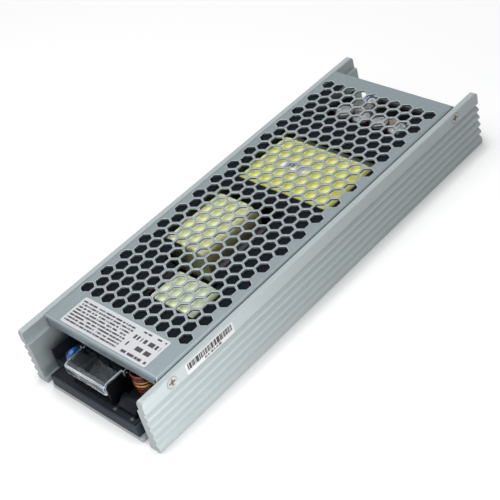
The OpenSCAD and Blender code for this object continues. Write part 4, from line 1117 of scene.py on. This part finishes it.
def seen_rays(nodes, links):
    """One for camera, glossy and transmission rays, and zero for the rest."""
    path = nodes.new("ShaderNodeLightPath")
    total = path.outputs["Is Camera Ray"]
    for ray in ("Is Glossy Ray", "Is Transmission Ray"):
        node = nodes.new("ShaderNodeMath")
        node.operation = "MAXIMUM"
        links.new(total, node.inputs[0])
        links.new(path.outputs[ray], node.inputs[1])
        total = node.outputs[0]
    return total


class POWERSUPPLY_OT_stage(Operator):
    """Set the camera, the floor and the lights"""

    bl_idname = "power_supply.stage"
    bl_label = "Stage"

    def execute(self, context):
        stage = context.scene.supply_stage
        self.camera(context.scene, stage)
        self.floor(stage)
        self.world(context.scene, stage)
        self.softbox("key", stage.key_place, stage.key_size, stage.key_power, stage.aim)
        self.softbox("fill", stage.fill_place, stage.fill_size, stage.fill_power, stage.aim)
        context.scene.view_settings.view_transform = "Standard"
        return {"FINISHED"}

    def camera(self, scene, stage):
        flat = math.cos(stage.elevation)
        back = Vector((math.sin(stage.azimuth) * flat, -math.cos(stage.azimuth) * flat,
                       math.sin(stage.elevation)))
        right = Vector((0, 0, 1)).cross(back).normalized()
        up = back.cross(right)
        turn = Matrix((right, up, back)).transposed().to_4x4() @ Matrix.Rotation(stage.roll, 4, "Z")
        data = bpy.data.cameras.new("photo_camera")
        data.lens = stage.lens
        data.sensor_width = stage.sensor
        camera = bpy.data.objects.new("photo_camera", data)
        scene.collection.objects.link(camera)
        camera.matrix_world = Matrix.Translation(Vector(stage.target) + back * stage.distance) @ turn
        scene.camera = camera

    def floor(self, stage):
        """A pale floor that the camera sees nearly white, with the object's shadow on it, and a painted
        contact shadow where ambient occlusion takes away the added white near the object's foot.
        """
        deselect()
        bpy.ops.mesh.primitive_plane_add(size=stage.floor_size)
        floor = bpy.context.object
        floor.name = "floor"
        finish = Finish("studio_floor", stage.floor, roughness=0.7, specular_ior_level=0.1)
        # Painted contact shadow: ambient occlusion takes the added white away near the object's foot.
        foot = finish.node("AmbientOcclusion", distance=stage.shadow_reach)
        foot.samples = FOOT_SAMPLES
        clear = finish.ramp(foot.outputs["AO"], 0.5, 1.0, stage.shadow_share, 1.0)
        white = finish.math("MULTIPLY", clear, stage.floor_lift)
        seen = seen_rays(finish.nodes, finish.links)
        lift = finish.node("Emission", strength=finish.math("MULTIPLY", seen, white))
        total = finish.node("AddShader")
        for source, socket in zip((finish.shader, lift), total.inputs):
            finish.links.new(source.outputs[0], socket)
        finish.feed(finish.nodes["Material Output"], surface=total.outputs[0])
        floor.data.materials.append(finish.material)

    def world(self, scene, stage):
        """Even light from all round, which the camera and reflections see as white."""
        world = bpy.data.worlds.new("studio")
        world.use_nodes = True
        nodes, links = world.node_tree.nodes, world.node_tree.links
        room = nodes["Background"]
        room.inputs["Color"].default_value = (*stage.room_tint, 1.0)
        room.inputs["Strength"].default_value = stage.room
        white = nodes.new("ShaderNodeBackground")
        white.inputs["Color"].default_value = (1.0, 1.0, 1.0, 1.0)
        blend = nodes.new("ShaderNodeMixShader")
        for source, socket in zip((seen_rays(nodes, links), room.outputs[0], white.outputs[0]), blend.inputs):
            links.new(source, socket)
        links.new(blend.outputs[0], nodes["World Output"].inputs["Surface"])
        scene.world = world

    def softbox(self, name, place, size, power, aim):
        data = bpy.data.lights.new(name, "AREA")
        data.size = size
        data.energy = power
        lamp = bpy.data.objects.new(name, data)
        bpy.context.scene.collection.objects.link(lamp)
        lamp.location = place
        lamp.rotation_euler = (Vector(aim) - lamp.location).to_track_quat("-Z", "Y").to_euler()


OPERATORS = (POWERSUPPLY_OT_metalwork, POWERSUPPLY_OT_insulation, POWERSUPPLY_OT_terminals,
             POWERSUPPLY_OT_flip_cover, POWERSUPPLY_OT_board, POWERSUPPLY_OT_taped_parts,
             POWERSUPPLY_OT_chokes, POWERSUPPLY_OT_capacitors, POWERSUPPLY_OT_silicone,
             POWERSUPPLY_OT_labels, POWERSUPPLY_OT_stage)


class POWERSUPPLY_PT_panel(Panel):
    """Lists the steps that finish the power supply"""

    bl_idname = "POWERSUPPLY_PT_panel"
    bl_label = "Power Supply"
    bl_space_type = "VIEW_3D"
    bl_region_type = "UI"
    bl_category = "Power Supply"

    def draw(self, context):
        for operator in OPERATORS:
            self.layout.operator(operator.bl_idname)


SETTINGS = {"supply_metal": MetalSettings, "supply_plastic": PlasticSettings, "supply_wound": WoundSettings,
            "supply_shape": ShapeSettings, "supply_print": PrintSettings, "supply_stage": StageSettings}
CLASSES = (*SETTINGS.values(), *OPERATORS, POWERSUPPLY_PT_panel)


def register():
    for item in CLASSES:
        bpy.utils.register_class(item)
    for name, group in SETTINGS.items():
        setattr(bpy.types.Scene, name, PointerProperty(type=group))


def unregister():
    for name in SETTINGS:
        delattr(bpy.types.Scene, name)
    for item in reversed(CLASSES):
        bpy.utils.unregister_class(item)


def main():
    register()
    bpy.ops.power_supply.metalwork()
    bpy.ops.power_supply.insulation()
    bpy.ops.power_supply.terminals()
    bpy.ops.power_supply.flip_cover()
    bpy.ops.power_supply.board()
    bpy.ops.power_supply.taped_parts()
    bpy.ops.power_supply.chokes()
    bpy.ops.power_supply.capacitors()
    bpy.ops.power_supply.silicone()
    bpy.ops.power_supply.labels()
    bpy.ops.power_supply.stage()


if __name__ == "__main__":
    main()
